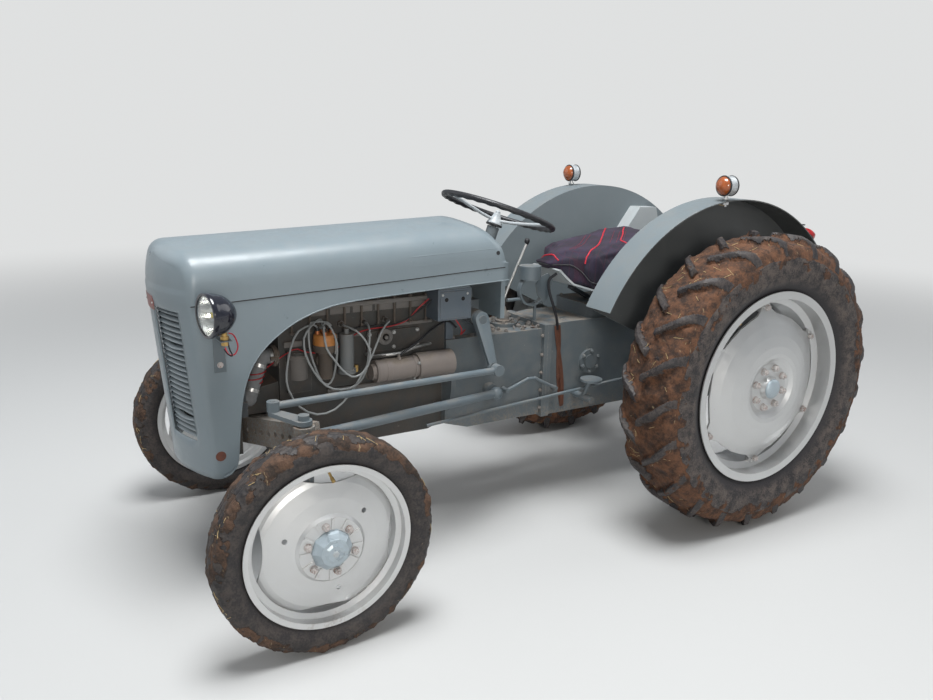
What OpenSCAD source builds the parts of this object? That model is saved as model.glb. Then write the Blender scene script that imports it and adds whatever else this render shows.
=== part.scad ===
// Vintage light farm tractor, full size, standing on its own four tyres.
// The front faces -Y, the tractor's left side is +X and the ground is Z = 0.

/* [Overall] */
// Distance between the front and rear axle lines
wheelbase = 1778; // [1700:1:1860]
// Reach of the lower link ends behind the rear axle line
link_reach = 796; // [740:1:850]
// Distance between the centres of the two rear tyres
rear_track = 1252; // [1230:1:1320]
// Distance between the centres of the two front tyres
front_track = 1264; // [1240:1:1330]

/* [Rear wheels] */
// Radius of the rear tyre over its lugs, which is also its axle height
rear_tyre_r = 590; // [575:1:610]
// Width of the rear tyre
rear_tyre_w = 276; // [250:1:290]
// Height of the tread lugs
lug_h = 26; // [18:1:32]
// Number of lugs on each side of the tread
lug_n = 21; // [16:1:24]
// Width of one lug
lug_w = 34; // [24:1:44]
// Radius of the rear rim over its flanges
rear_flange_r = 380; // [374:1:388]
// Width between the outer faces of the rear rim flanges
rear_rim_w = 230; // [210:1:240]
// Radius of the rear wheel centre at its six clamps
rear_disc_r = 322; // [312:1:323]
// Radius of the rear hub stub that carries the wheel centre
rear_stub_r = 34; // [28:0.5:40]

/* [Front wheels] */
// Radius of the front tyre, which is also its axle height
front_tyre_r = 341; // [330:1:352]
// Width of the front tyre
front_tyre_w = 120; // [108:1:130]
// Radius of the front rim over its flanges
front_flange_r = 257; // [251:1:263]
// Width between the outer faces of the front rim flanges
front_rim_w = 96; // [88:1:104]
// Half angle of each slot at the edge of the front wheel centre
slot_span = 23; // [14:1:28]
// Radius of the inner edge of those slots at their middle
slot_in = 194; // [188:1:205]
// Radius of the front stub axle
stub_r = 16; // [13:0.5:20]

/* [Front axle and steering] */
// Distance of each kingpin from the centre line
kingpin_x = 472; // [460:1:480]
// Radius of the kingpin
kingpin_r = 17; // [14:0.5:19]
// Height of the top of the kingpin tube
kingpin_top = 650; // [640:1:665]
// Height of the section of the front axle beam
beam_h = 92; // [80:1:100]
// Depth of the section of the front axle beam
beam_d = 56; // [46:1:64]
// Diameter of the row of adjusting holes in the beam
beam_hole_d = 19; // [12:1:24]
// Spacing of the adjusting holes along the beam
beam_hole_pitch = 50; // [44:1:60]
// Radius of the pin that the front axle rocks on
axle_pin_r = 19; // [15:0.5:22]
// Radius of the drag link tube
drag_link_r = 12; // [9:0.5:15]
// Radius of the radius rod tube
radius_rod_r = 17; // [13:0.5:20]
// Radius of the shafts that carry the two drop arms
drop_shaft_r = 16; // [12:0.5:19]
// Radius of the steering wheel to the middle of its rim
steer_wheel_r = 223; // [205:1:235]
// Radius of the section of the steering wheel rim
steer_rim_r = 12; // [9:0.5:14]
// Slope of the steering column from level
steer_slope = 70.3; // [66:0.1:74]

/* [Bonnet] */
// Half width of the bonnet at its sides
bonnet_half = 250; // [242:1:258]
// Thickness of the sheet metal of the bonnet
bonnet_wall = 3; // [2:0.5:4]
// Height of the hinge that the bonnet tips forward on
hinge_z = 507; // [495:1:520]
// Radius of the hinge tube
hinge_r = 14; // [11:0.5:18]
// Number of slats in each half of the grille
slat_n = 23; // [14:1:26]
// Distance from the centre line to the inner edge of each grille opening
grille_x0 = 48; // [30:1:60]
// Distance from the centre line to the outer edge of each grille opening
grille_x1 = 195; // [150:1:204]
// Height of the bottom of the grille openings
grille_z0 = 555; // [530:1:600]
// Height of the top of the grille openings
grille_z1 = 970; // [900:1:975]
// Radius of the headlamp
headlamp_r = 64; // [56:1:72]

/* [Engine] */
// Half width of the cylinder block
block_half = 115; // [100:1:120]
// Height of the top of the gearbox
gearbox_top = 762; // [750:1:775]
// Distance between two spark plugs
plug_pitch = 84; // [76:1:92]
// Radius of the leads to the spark plugs
lead_r = 3.5; // [2.5:0.1:4.5]
// Radius of the standing filter on the left side
filter_r = 25; // [20:1:30]
// Radius of the starter motor
starter_r = 40; // [34:1:46]
// Reach of the fan blades from the middle of the fan
fan_r = 140; // [115:1:145]
// Half width of the radiator
radiator_half = 200; // [185:1:215]

/* [Seat and fenders] */
// Half width of the pan seat
seat_half = 205; // [190:1:215]
// Thickness of the sheet of the fenders
fender_wall = 4; // [3:0.5:6]
// Radius of the fender's top about the rear axle
fender_r = 700; // [680:1:715]
// Distance of the fender's outer edge from the centre line
fender_edge = 500; // [480:1:540]
// Angle above level at which the front end of each fender is cut off
fender_end = 26; // [20:1:32]
// Radius of the small lamps on top of the fenders
lamp_r = 40; // [32:1:46]

/* [Hitch] */
// Radius of the hole in the lower link ends
link_eye_r = 11.2; // [10:0.1:12]
// Radius of the hole in the top link bracket
top_eye_r = 9.6; // [8:0.1:11]
// Radius of the power take-off shaft
pto_r = 14.3; // [12:0.1:16]

/* [Hidden] */
$fn = 48;
e = 0.01;
// Radial gap between a pin and its bore
fit = 0.05;
// Gap between two still pieces that lie against each other
seat_gap = 0.3;
// Gap between the grille and the many-sided skin of the nose
skin_gap = 0.9;
rear_axle_y = (wheelbase + front_tyre_r - link_reach) / 2;
front_y = -wheelbase;
rear_z = rear_tyre_r;
front_z = front_tyre_r;
rear_x = rear_track / 2;
front_x = front_track / 2;
hinge_y = -wheelbase - 200;
// The two halves of the front axle sweep back and rise outwards
beam_y0 = -wheelbase - 87;
beam_z0 = 500;
beam_sweep = atan((front_y - beam_y0) / kingpin_x);
beam_rise = atan((kingpin_top - beam_h / 2 - beam_z0) / kingpin_x);
knuckle_gap = 5.3;
// How far the rear axle reaches past the middle of the tyre
stub_reach = 90;
engine_front = front_y + 40;
pump_front = engine_front - 20;
// Rear end of the engine, where the gearbox starts
engine_back = -1100;
plug_z = 866;
plug_len = 32;
radiator_back = front_y - 94;
// Bow of the nose in plan, its round corners and its forward lean
bow_r = 450;
corner_r = 30;
nose_lean = 4.5;
nose_front = front_y - 338.5;
nose_z = 1017;
// Inner side of the fenders, which bolt to the brake drums
fender_in = 362;
// Lift arm and lower link pivots, in Y and Z
lift_pivot = [150, 835];
link_pivot = [60, 420];
rod_y = 390;
link_x0 = 190;
link_x1 = 326;
// Ball joints of the left drag link
link_front = [355, front_y - 57, 684];
link_rear = [310, -983, 679];
drop_top = [228, -1012, 857];
// Rear ball of the left radius rod
rod_ball = [185, -905, 540];
drop_ball = [288, -983, 679];
// Middle of the steering wheel, and the way its column points down
wheel_mid = [0, -802, 1221];
column = [0, -cos(steer_slope), -sin(steer_slope)];

// Everything below is drawn from the rear axle line and moved to the frame here
module placed() {
    translate([0, rear_axle_y, 0])
        children();
}

// A copy for the right side
module right_side() {
    mirror([1, 0, 0])
        children();
}

// An outline in Y and Z, extruded across X from x0 to x1
module across(x0, x1) {
    translate([x0, 0, 0])
        rotate([90, 0, 90])
            linear_extrude(height = x1 - x0)
                children();
}

// A cylinder along X, Y, or Z between two places
module bar_x(p, len, r) {
    translate(p)
        rotate([0, 90, 0])
            cylinder(r = r, h = len);
}

module bar_y(p, len, r) {
    translate(p)
        rotate([-90, 0, 0])
            cylinder(r = r, h = len);
}

// A round bar from point a to point b
module rod(a, b, r) {
    d = b - a;
    len = norm(d);
    translate(a)
        rotate([0, acos(d[2] / len), atan2(d[1], d[0])])
            cylinder(r = r, h = len);
}

// A row of points on an arc
function arc(cx, cy, r, a0, a1, n) =
    [for (i = [0:n]) [cx + r * cos(a0 + (a1 - a0) * i / n), cy + r * sin(a0 + (a1 - a0) * i / n)]];

// A block with round upright edges
module slab(x, y, z, r) {
    linear_extrude(height = z)
        offset(r = r)
            square([x - 2 * r, y - 2 * r], center = true);
}

// Front axle, its support and the radiator

module front_support() {
    slot_y = beam_y0 - 4;
    slot_d = beam_d + 8 + 100 * tan(beam_sweep) + 2;
    placed() color("lightslategray") {
        difference() {
            across(-100, 100)
                polygon([
                    [engine_front - seat_gap, 440], [engine_front - seat_gap, 680],
                    [front_y - 20, 670], [front_y - 52, 606], [hinge_y - 4, 606],
                    [hinge_y - 4, 480], [hinge_y + 30, 440]
                ]);
            translate([-101, slot_y, 400])
                cube([202, slot_d, 178]);
        }
        bar_y([0, slot_y - 1, beam_z0], slot_d + 2, axle_pin_r);
        bar_x([-bonnet_half + 0.5, hinge_y, hinge_z], 2 * bonnet_half - 1, hinge_r);
    }
}

module half_beam() {
    len = kingpin_x / cos(beam_sweep) / cos(beam_rise);
    translate([0, beam_y0 + beam_d / 2, beam_z0])
        rotate([0, -beam_rise, beam_sweep])
            difference() {
                translate([0, -beam_d / 2, -beam_h / 2])
                    cube([len, beam_d, beam_h]);
                translate([70, -beam_d / 2 + 10, -beam_h / 2 + 12])
                    cube([len - 120, beam_d, beam_h - 24]);
                for (x = [95:beam_hole_pitch:len - 60])
                    translate([x, -beam_d, 0])
                        rotate([-90, 0, 0])
                            cylinder(d = beam_hole_d, h = 2 * beam_d);
            }
}

module front_axle() {
    mid_y = beam_y0 + beam_d / 2;
    placed() color("dimgray") difference() {
        union() {
            half_beam();
            right_side()
                half_beam();
            bar_y([0, beam_y0, beam_z0], beam_d, beam_h / 2 - 3);
            for (s = [-1, 1])
                translate([s * kingpin_x, front_y, kingpin_top - 110])
                    cylinder(r = kingpin_r + 15, h = 110);
        }
        bar_y([0, mid_y - 60, beam_z0], 120, axle_pin_r + fit);
        for (s = [-1, 1])
            translate([s * kingpin_x, front_y, 300])
                cylinder(r = kingpin_r + fit, h = 500);
    }
}

module knuckle() {
    low = kingpin_top - 110 - knuckle_gap;
    color("slategray") {
        translate([kingpin_x, front_y, front_z - 26])
            cylinder(r = kingpin_r + 9, h = low - front_z + 26);
        translate([kingpin_x, front_y, low - 1])
            cylinder(r = kingpin_r, h = kingpin_top + knuckle_gap - low + 31);
        bar_x([kingpin_x, front_y, front_z], front_x + 40 - kingpin_x, stub_r);
        hull() {
            translate([kingpin_x, front_y, kingpin_top + knuckle_gap])
                cylinder(r = 26, h = 14);
            translate([link_front[0], link_front[1], kingpin_top + knuckle_gap])
                cylinder(r = 17, h = 14);
        }
        translate([link_front[0], link_front[1], kingpin_top + knuckle_gap])
            cylinder(r = 9, h = 48);
    }
}

module knuckle_left() {
    placed() knuckle();
}

module knuckle_right() {
    placed() right_side() knuckle();
}

module drag_link() {
    base = kingpin_top + knuckle_gap + 14 + seat_gap;
    tip = [link_front[0], link_front[1], base + 16];
    color("lightsteelblue") difference() {
        union() {
            rod(tip, link_rear, drag_link_r);
            translate([tip[0], tip[1], base])
                cylinder(r = 20, h = 32);
            bar_x([link_rear[0] - 16, link_rear[1], link_rear[2]], 32, 21);
        }
        translate([tip[0], tip[1], base - 5])
            cylinder(r = 9 + fit, h = 60);
    }
}

module drag_link_left() {
    placed() drag_link();
}

module drag_link_right() {
    placed() right_side() drag_link();
}

module drop_arm() {
    color("lightsteelblue") difference() {
        union() {
            hull() {
                bar_x([drop_top[0] - 14, drop_top[1], drop_top[2]], 28, drop_shaft_r + 12);
                bar_x([drop_ball[0] - 12, drop_ball[1], drop_ball[2]], 12, 15);
            }
            bar_x([drop_ball[0] - 12, drop_ball[1], drop_ball[2]], 12, 22);
        }
        bar_x([drop_top[0] - 40, drop_top[1], drop_top[2]], 80, drop_shaft_r + fit);
    }
}

module drop_arm_left() {
    placed() drop_arm();
}

module drop_arm_right() {
    placed() right_side() drop_arm();
}

module radius_rods() {
    fx = 390;
    fy = beam_y0 + beam_d + fx * tan(beam_sweep) + (radius_rod_r + 2) / cos(beam_sweep);
    placed() color("lightsteelblue")
        for (s = [0, 1])
            mirror([s, 0, 0]) {
                translate([fx, fy, 580])
                    sphere(r = radius_rod_r + 1);
                rod([fx, fy, 580], rod_ball, radius_rod_r);
                translate(rod_ball)
                    sphere(r = 26);
            }
}

module radiator() {
    placed() color("darkslategray") {
        translate([-radiator_half, radiator_back - 58, 606 + seat_gap])
            cube([2 * radiator_half, 58, 50]);
        translate([-radiator_half + 8, radiator_back - 55, 656])
            cube([2 * radiator_half - 16, 52, 384.5]);
        across(-radiator_half, radiator_half)
            polygon([
                [radiator_back - 62, 1040], [radiator_back, 1040], [radiator_back, 1080],
                [radiator_back - 15, 1100], [radiator_back - 46, 1100], [radiator_back - 62, 1080]
            ]);
        translate([0, radiator_back - 30, 1095])
            cylinder(r = 28, h = 32);
    }
}

module hoses() {
    low = [95, front_y - 12, 772];
    placed() color("darkgray") {
        bar_y([120, radiator_back + seat_gap, 640], 26, 24);
        translate([120, radiator_back + 26, 640])
            sphere(r = 25);
        rod([120, radiator_back + 26, 640], low, 24);
        translate(low)
            sphere(r = 25);
        bar_y(low, engine_front - seat_gap - low[1], 24);
        bar_y([0, radiator_back + seat_gap, 1062], 22.5, 21);
        translate([0, radiator_back + 22.8, 1062])
            sphere(r = 21.8);
        rod([0, radiator_back + 22.8, 1062], [0, engine_front - 22.5, 985], 21);
        translate([0, engine_front - 22.5, 985])
            sphere(r = 21.8);
        bar_y([0, engine_front - 22.5, 985], 22.5 - seat_gap, 21);
    }
}

module fan() {
    placed() color("black") {
        bar_y([0, front_y - 60, 860], 46, 22);
        bar_y([0, front_y - 15, 860], 14, 62);
        bar_y([0, front_y - 2, 860], pump_front - seat_gap - front_y + 2, 14);
        for (a = [70:90:359])
            translate([0, front_y - 42, 860])
                rotate([0, a, 0])
                    translate([16, 0, 0])
                        rotate([28, 0, 0])
                            translate([0, -3, -32])
                                cube([fan_r - 20, 6, 64]);
    }
}

// Engine and what hangs on it

module engine() {
    y0 = engine_front;
    y1 = engine_back;
    placed() color("slategray") {
        translate([-block_half, y0, 610])
            cube([2 * block_half, y1 - y0, 290]);
        translate([-block_half - 9, y0 + 4, 598])
            cube([2 * block_half + 18, y1 - y0 - 44, 14]);
        across(-block_half + 15, block_half - 15)
            polygon([
                [y0, 610], [y1, 610], [y1, 430], [y1 - 60, 410],
                [y0 + 260, 410], [y0 + 120, 440], [y0, 440]
            ]);
        translate([-block_half + 6, y0 + 14, 899])
            cube([2 * block_half - 12, y1 - y0 - 60, 58]);
        across(-64, 64)
            polygon([
                [y0 + 60, 956], [y1 - 90, 956], [y1 - 90, 1004], [y1 - 106, 1016],
                [y0 + 76, 1016], [y0 + 60, 1004]
            ]);
        bar_y([0, pump_front, 860], 60, 50);
        bar_y([0, y0, 985], 62, 28);
        // Front cover with its round housing, seen beside the distributor
        translate([block_half + 4, y0 + 66, 690])
            cylinder(r = 30, h = 96);
        translate([block_half - 1, y0 + 24, 640])
            cube([16, 84, 150]);
        // Side covers, the filler boss and the core plugs
        translate([block_half - 1, y0 + 178, 640])
            cube([9, 120, 56]);
        bar_x([block_half - 1, y1 - 256, 806], 24, 27);
        translate([block_half - 1, y1 - 320, 752])
            cube([12, 210, 74]);
        for (i = [0:3]) {
            bar_x([block_half - 1, plug(i)[1], plug_z], plug_len + 1, 7);
            bar_x([block_half - 1, plug(i)[1], plug_z], 13, 12, $fn = 6);
            translate([block_half - 4, plug(i)[1] + plug_pitch / 2, 900])
                cylinder(r = 9, h = 68);
        }
        rod([block_half + 46, y1 - 318, 744], [block_half + 46, y1 - 206, 744], 6);
        rod([block_half + 46, y1 - 206, 744], [block_half + 40, y1 - 150, 758], 6);
        rod([block_half + 40, y1 - 150, 758], [block_half - 6, y1 - 58, 752], 6);
        rod([block_half - 6, y1 - 318, 744], [block_half + 46, y1 - 318, 744], 6);
        for (q = [
            [block_half + 46, y1 - 318, 744], [block_half + 46, y1 - 206, 744],
            [block_half + 40, y1 - 150, 758]
        ])
            translate(q)
                sphere(r = 6.6);
    }
}

cap_mid = [block_half + 42, engine_front + 150, 846];

function tower(i) = cap_mid + [25 * cos(100 + 80 * i), 25 * sin(100 + 80 * i), 12];

module distributor() {
    placed() color("peru") {
        bar_x([block_half + seat_gap, cap_mid[1], 748], 24, 26);
        translate([cap_mid[0], cap_mid[1], 690])
            cylinder(r = 24, h = 96);
        translate([cap_mid[0], cap_mid[1], 786])
            cylinder(r = 40, h = 24);
        translate([cap_mid[0], cap_mid[1], 810])
            cylinder(r1 = 40, r2 = 35, h = 36);
        for (i = [0:3])
            translate([tower(i)[0], tower(i)[1], 844])
                cylinder(r = 7, h = cap_mid[2] + 12 - 844);
        translate([cap_mid[0], cap_mid[1], 844])
            cylinder(r = 8, h = 16);
    }
}

// Routes of the four leads from the cap to the spark plugs, with Y measured from the engine's front
function plug(i) = [block_half + plug_len + seat_gap, engine_front + 138 + plug_pitch * i, plug_z];
lead_far = [
    [168, 104, 884], [187, 48, 872], [198, 16, 820], [202, -2, 740], [203, 2, 680], [203, 38, 615],
    [203, 98, 578], [203, 163, 586], [203, 218, 632], [203, 260, 690], [202, 306, 765],
    [190, 346, 840], [172, 382, 868]
];
lead_third = [
    [136, 148, 886], [154, 132, 896], [186, 92, 884], [204, 60, 850], [212, 62, 795],
    [212, 88, 735], [212, 128, 680], [212, 183, 657], [212, 243, 668], [212, 278, 715],
    [208, 290, 790], [190, 301, 850]
];
lead_second = [
    [186, 137, 878], [200, 131, 862], [216, 134, 808], [221, 157, 770], [221, 185, 731],
    [221, 218, 702], [221, 251, 704], [221, 280, 733], [221, 289, 775], [218, 274, 820],
    [203, 246, 856]
];
lead_first = [
    [158, 160, 884], [170, 98, 892], [188, 82, 845], [194, 86, 790], [194, 102, 735],
    [194, 122, 690], [194, 144, 676], [198, 162, 700], [204, 172, 760], [207, 174, 820],
    [200, 160, 868], [178, 146, 888]
];

// Points on a smooth curve through the points of p, n to each stretch
function smooth(p, n) = concat(
    [for (i = [0:len(p) - 2], j = [0:n - 1])
        let (
            t = j / n,
            a = p[max(0, i - 1)],
            b = p[i],
            c = p[i + 1],
            d = p[min(len(p) - 1, i + 2)]
        )
        0.5 * (2 * b + (c - a) * t + (2 * a - 5 * b + 4 * c - d) * t * t
            + (3 * b - a - 3 * c + d) * t * t * t)],
    [p[len(p) - 1]]
);

function unit(v) = v / norm(v);

// A round cord along a row of points
module cord(p, r) {
    n = len(p);
    m = 8;
    t = [for (i = [0:n - 1]) unit(p[min(n - 1, i + 1)] - p[max(0, i - 1)])];
    u = [for (i = 0, v = unit(cross(t[0], [0.3, 0.5, 0.8])); i < n; i = i + 1,
        v = i < n ? unit(v - (v * t[i]) * t[i]) : v) v];
    points = [for (i = [0:n - 1], k = [0:m - 1])
        p[i] + r * (cos(360 * k / m) * u[i] + sin(360 * k / m) * cross(t[i], u[i]))];
    sides = [for (i = [0:n - 2], k = [0:m - 1])
        [i * m + k, (i + 1) * m + k, (i + 1) * m + (k + 1) % m, i * m + (k + 1) % m]];
    ends = [[for (k = [0:m - 1]) k], [for (k = [m - 1:-1:0]) (n - 1) * m + k]];
    polyhedron(points, concat(sides, ends), convexity = 6);
}

// A lead rises straight from its tower and ends straight on its plug
function lead(i, route, k) = concat(
    [tower(i) + [0, 0, seat_gap]],
    smooth(concat(
        [tower(i) + [0, 0, 10]],
        [for (q = route) q + [0, engine_front, 0]],
        [plug(k) + [10, 0, 0]]
    ), 2),
    [plug(k)]
);

module spark_leads() {
    placed() color("silver") {
        cord(lead(0, lead_first, 0), lead_r);
        cord(lead(3, lead_second, 1), lead_r);
        cord(lead(1, lead_third, 2), lead_r);
        cord(lead(2, lead_far, 3), lead_r);
    }
}

module oil_filter() {
    placed() color("lightslategray") {
        translate([block_half + 48, engine_front + 226, 712])
            cylinder(r = filter_r, h = 128);
        translate([block_half + 48, engine_front + 226, 700])
            cylinder(r = filter_r + 6, h = 14);
        translate([block_half, engine_front + 214, 700])
            cube([50, 24, 14]);
        translate([block_half + 48, engine_front + 226, 838])
            cylinder(r = 9, h = 20);
    }
}

module starter() {
    placed() color("rosybrown") {
        bar_y([block_half + starter_r + 10, engine_back - 310, 690], 165, starter_r);
        bar_y([block_half + starter_r + 10, engine_back - 324, 690], 15, starter_r - 12);
        bar_y([block_half + starter_r + 10, engine_back - 146, 690], 146 - seat_gap, starter_r + 8);
        translate([block_half, engine_back - 90, 665])
            cube([20, 80, 50]);
    }
}

module generator() {
    placed() color("slategray") {
        bar_y([-block_half - 60, engine_front + 98, 800], 190, 52);
        bar_y([-block_half - 60, engine_front + 68, 800], 30, 30);
        translate([-block_half - 40, engine_front + 138, 742])
            cube([40, 110, 24]);
    }
}

module manifold() {
    placed() color("saddlebrown") {
        translate([-block_half - 55, engine_front + 78, 870])
            cube([55, engine_back - engine_front - 168, 50]);
        translate([-block_half - 55, engine_back - 300, 800])
            cube([50, 60, 71]);
        translate([-block_half - 46, engine_back - 270, 720])
            cylinder(r = 38, h = 81);
    }
}

module exhaust() {
    x = -block_half - 85;
    y = engine_back - 130;
    placed() color("saddlebrown") {
        translate([x + 45, y, 560])
            cylinder(r = 18, h = 310 - seat_gap);
        rod([x + 45, y, 560], [x, -1130, 400], 18);
        translate([x + 45, y, 560])
            sphere(r = 19);
        translate([x, -1130, 400])
            sphere(r = 19);
        bar_y([x, -1130, 400], 140, 18);
        bar_y([x, -1000, 400], 380, 45);
        bar_y([x, -630, 400], 330, 18);
    }
}

module air_cleaner() {
    placed() color("slategray") {
        translate([-178, engine_back - 15, 800])
            cylinder(r = 60, h = 190);
        translate([-178, engine_back - 15, 780])
            cylinder(r = 46, h = 21);
        translate([-125, engine_back + 4, gearbox_top + seat_gap])
            cube([40, 30, 90]);
    }
}

module dash() {
    box_top = gearbox_top + seat_gap + 132;
    placed() color("steelblue") difference() {
        across(-228, 228)
            polygon([
                [-925, 850], [-907, 850], [-907, 1040], [-935, 1110],
                [-1010, 1178], [-1030, 1172], [-955, 1100], [-925, 1030]
            ]);
        for (s = [-1, 1])
            bar_y([s * 228, -1100, 1190], 300, 80);
        translate([-76, -1000, 800])
            cube([152, 200, box_top + seat_gap - 800]);
        rod(wheel_mid + 100 * column, wheel_mid + 500 * column, 25);
    }
}

module fuel_tank() {
    placed() color("slategray") {
        translate([0, engine_back - 105, 1022])
            slab(380, 330, 118, 40);
        translate([0, engine_back - 30, 1139])
            cylinder(r = 36, h = 26);
        for (s = [-1, 1])
            translate([s * 74 - 10, engine_back - 230, 970 + seat_gap])
                cube([20, 180, 60]);
    }
}

module regulator_box() {
    placed() color("lightslategray") {
        translate([118, engine_back - 85, 862])
            cube([102, 137, 113]);
        translate([84, engine_back + 4, 862])
            cube([40, 30, 30]);
        translate([84, engine_back + 4, gearbox_top + seat_gap])
            cube([36, 30, 110]);
    }
}

// Gearbox, rear housing and what stands on them

module gearbox() {
    y0 = engine_back;
    y1 = -640;
    placed() color("lightslategray") {
        across(-130, 130)
            polygon([
                [y0 + 0.1, 430], [y0 + 0.1, gearbox_top], [y1, gearbox_top], [y1, 400],
                [y0 + 100, 400]
            ]);
        bar_y([0, y0 + 0.1, 600], 18, 176);
        translate([-150, y1 - 18, 392])
            cube([300, 18, 388]);
        translate([0, -763, gearbox_top - 1])
            cylinder(r = 58, h = 15);
        bar_x([-159 + seat_gap, rod_ball[1], rod_ball[2]], 318 - 2 * seat_gap, 30);
    }
}

module rear_housing() {
    y0 = -639.9;
    placed() color("lightslategray") {
        across(-135, 135)
            polygon([
                [y0, 392], [y0, 770], [-560, 780], [100, 780], [190, 720],
                [190, 460], [120, 392]
            ]);
        translate([-150, y0, 392])
            cube([300, 18, 388]);
        bar_x([-160, 0, rear_z], 320, 150);
        bar_x([-147, -412, 600], 294, 52);
        bar_x([-151, -412, 600], 302, 30);
        translate([0, -180, 779])
            slab(250, 470, 56, 30);
        bar_y([0, 189, 560], 95, pto_r);
        bar_y([0, 189, 560], 22, 52);
        difference() {
            translate([-38, 180, 690])
                cube([76, 78, 80]);
            translate([-22, 205, 680])
                cube([44, 70, 100]);
            bar_x([-60, 236, 745], 120, top_eye_r);
        }
        bar_x([-123.7, lift_pivot[0], lift_pivot[1]], 247.4, 26);
        bar_x([-142, lift_pivot[0], lift_pivot[1]], 284, 18);
        translate([-112, 90, 770])
            cube([224, 75, 50]);
        bar_x([-link_x0 - 16, link_pivot[0], link_pivot[1]], 2 * link_x0 + 32, 12);
        bar_x([-link_x0 + 0.7, link_pivot[0], link_pivot[1]], 2 * link_x0 - 1.4, 22);
    }
}

module axle_housings() {
    x0 = 160.2;
    drum = fender_in - seat_gap;
    placed() color("lightslategray")
        for (s = [0, 1])
            mirror([s, 0, 0]) {
                bar_x([x0, 0, rear_z], 20, 130);
                translate([x0 + 19, 0, rear_z])
                    rotate([0, 90, 0])
                        cylinder(r1 = 92, r2 = 68, h = drum - 62 - x0 - 18);
                bar_x([drum - 62, 0, rear_z], 62, 172);
                bar_x([drum - 1, 0, rear_z], 40, 58);
                bar_x([drum, 0, rear_z], rear_x - drum + stub_reach, rear_stub_r);
            }
}

module steering_box() {
    placed() color("lightslategray") {
        rod(wheel_mid + 380 * column, wheel_mid + 62 * column, 24);
        rod(wheel_mid + 70 * column, wheel_mid + 2 * column, 10);
        translate([-75, -1060, gearbox_top + seat_gap])
            cube([150, 150, 132]);
        bar_x([-drop_top[0] + 14.3, drop_top[1], drop_top[2]], 2 * drop_top[0] - 28.6, 30);
        bar_x([-drop_top[0] - 22, drop_top[1], drop_top[2]], 2 * drop_top[0] + 44, drop_shaft_r);
    }
}

module steering_wheel() {
    placed() color("black")
        translate(wheel_mid)
            rotate([-(90 - steer_slope), 0, 0])
                difference() {
                    union() {
                        rotate_extrude()
                            translate([steer_wheel_r, 0])
                                circle(r = steer_rim_r);
                        translate([0, 0, -56])
                            cylinder(r1 = 34, r2 = 20, h = 70);
                        for (a = [30:120:300])
                            rotate([0, 0, a])
                                rotate([0, 90, 0])
                                    cylinder(r = 5, h = steer_wheel_r);
                    }
                    translate([0, 0, -80])
                        cylinder(r = 10 + fit, h = 80);
                }
}

module gear_lever() {
    placed() color("silver") {
        rod([0, -763, 802], [0, -757, 876], 9);
        rod([0, -757, 876], [0, -659, 1091], 6);
        translate([0, -659, 1096])
            sphere(r = 15);
        translate([0, -763, gearbox_top + 14 + 26 + seat_gap])
            sphere(r = 26);
    }
}

module controls() {
    placed() color("gray") {
        for (s = [0, 1])
            mirror([s, 0, 0]) {
                bar_x([135 + seat_gap, -485, 470], 125, 14);
                rod([205, -485, 470], [232, -478, 548], 10);
                translate([236, -475, 547])
                    cylinder(r = 45, h = 9);
                rod([208, s == 0 ? -1220 : -1000, s == 0 ? 468 : 481], [208, -250, 524], 6);
            }
        rod([162, -838, 536], [162, -740, 570], 7);
        rod([162, -740, 570], [162, -706, 569], 7);
        rod([162, -706, 569], [162, -600, 512], 7);
        for (q = [[162, -740, 570], [162, -706, 569]])
            translate(q)
                sphere(r = 7.7);
        bar_x([130 + seat_gap, -838, 536], 38, 9);
        bar_x([135 + seat_gap, -600, 512], 33, 9);
    }
}

module seat_spring() {
    placed() color("dimgray")
        across(-22, 22)
            polygon([
                [-330, 835.3], [-180, 835.3], [-180, 847], [-320, 847], [-418, 897.6], [-424, 886]
            ]);
}

module seat_pan() {
    placed() color("lightgray")
        difference() {
            across(-seat_half, seat_half)
                polygon([
                    [-560, 985], [-500, 925], [-420, 898], [-260, 900], [-120, 950], [50, 1085],
                    [44, 1090], [-124, 957], [-262, 907], [-418, 905], [-495, 931], [-552, 989]
                ]);
            for (s = [-1, 1])
                translate([s * seat_half, -560, 800])
                    cylinder(r = 110, h = 300);
        }
}

module seat_cushion() {
    placed() color("indigo")
        difference() {
            across(-seat_half + 4, seat_half - 4)
                polygon([
                    [-600, 1020], [-552, 989.3], [-495, 931.3], [-418, 905.3], [-262, 907.3],
                    [-124, 957.3], [44, 1090.3], [20, 1112], [-160, 1105], [-350, 1062]
                ]);
            for (s = [-1, 1])
                translate([s * seat_half, -600, 800])
                    cylinder(r = 150, h = 400);
        }
}

module rear_box() {
    placed() color("lightgray")
        across(-fender_in + seat_gap, -fender_in + 74)
            polygon([[90, 1040], [350, 1040], [306, 1186], [202, 1189]]);
}

// A round box on a curved bracket with a post, a leaf plate and a cross pin
module canister() {
    placed() color("lightsteelblue") {
        translate([60, -680, 955])
            cylinder(r = 45, h = 54);
        translate([49, -668, 908])
            rotate([90, 0, 90])
                rotate_extrude(start = 73, angle = 247)
                    translate([56, 0])
                        square([8, 22]);
        across(56, 62)
            polygon([
                [-590, 972], [-618, 965], [-649, 931], [-640, 890], [-605, 843], [-583, 880],
                [-565, 944]
            ]);
        bar_y([60, -785, 876], 70, 7);
        translate([60, -649, 780 + seat_gap])
            cylinder(r = 6, h = 80);
    }
}

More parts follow.
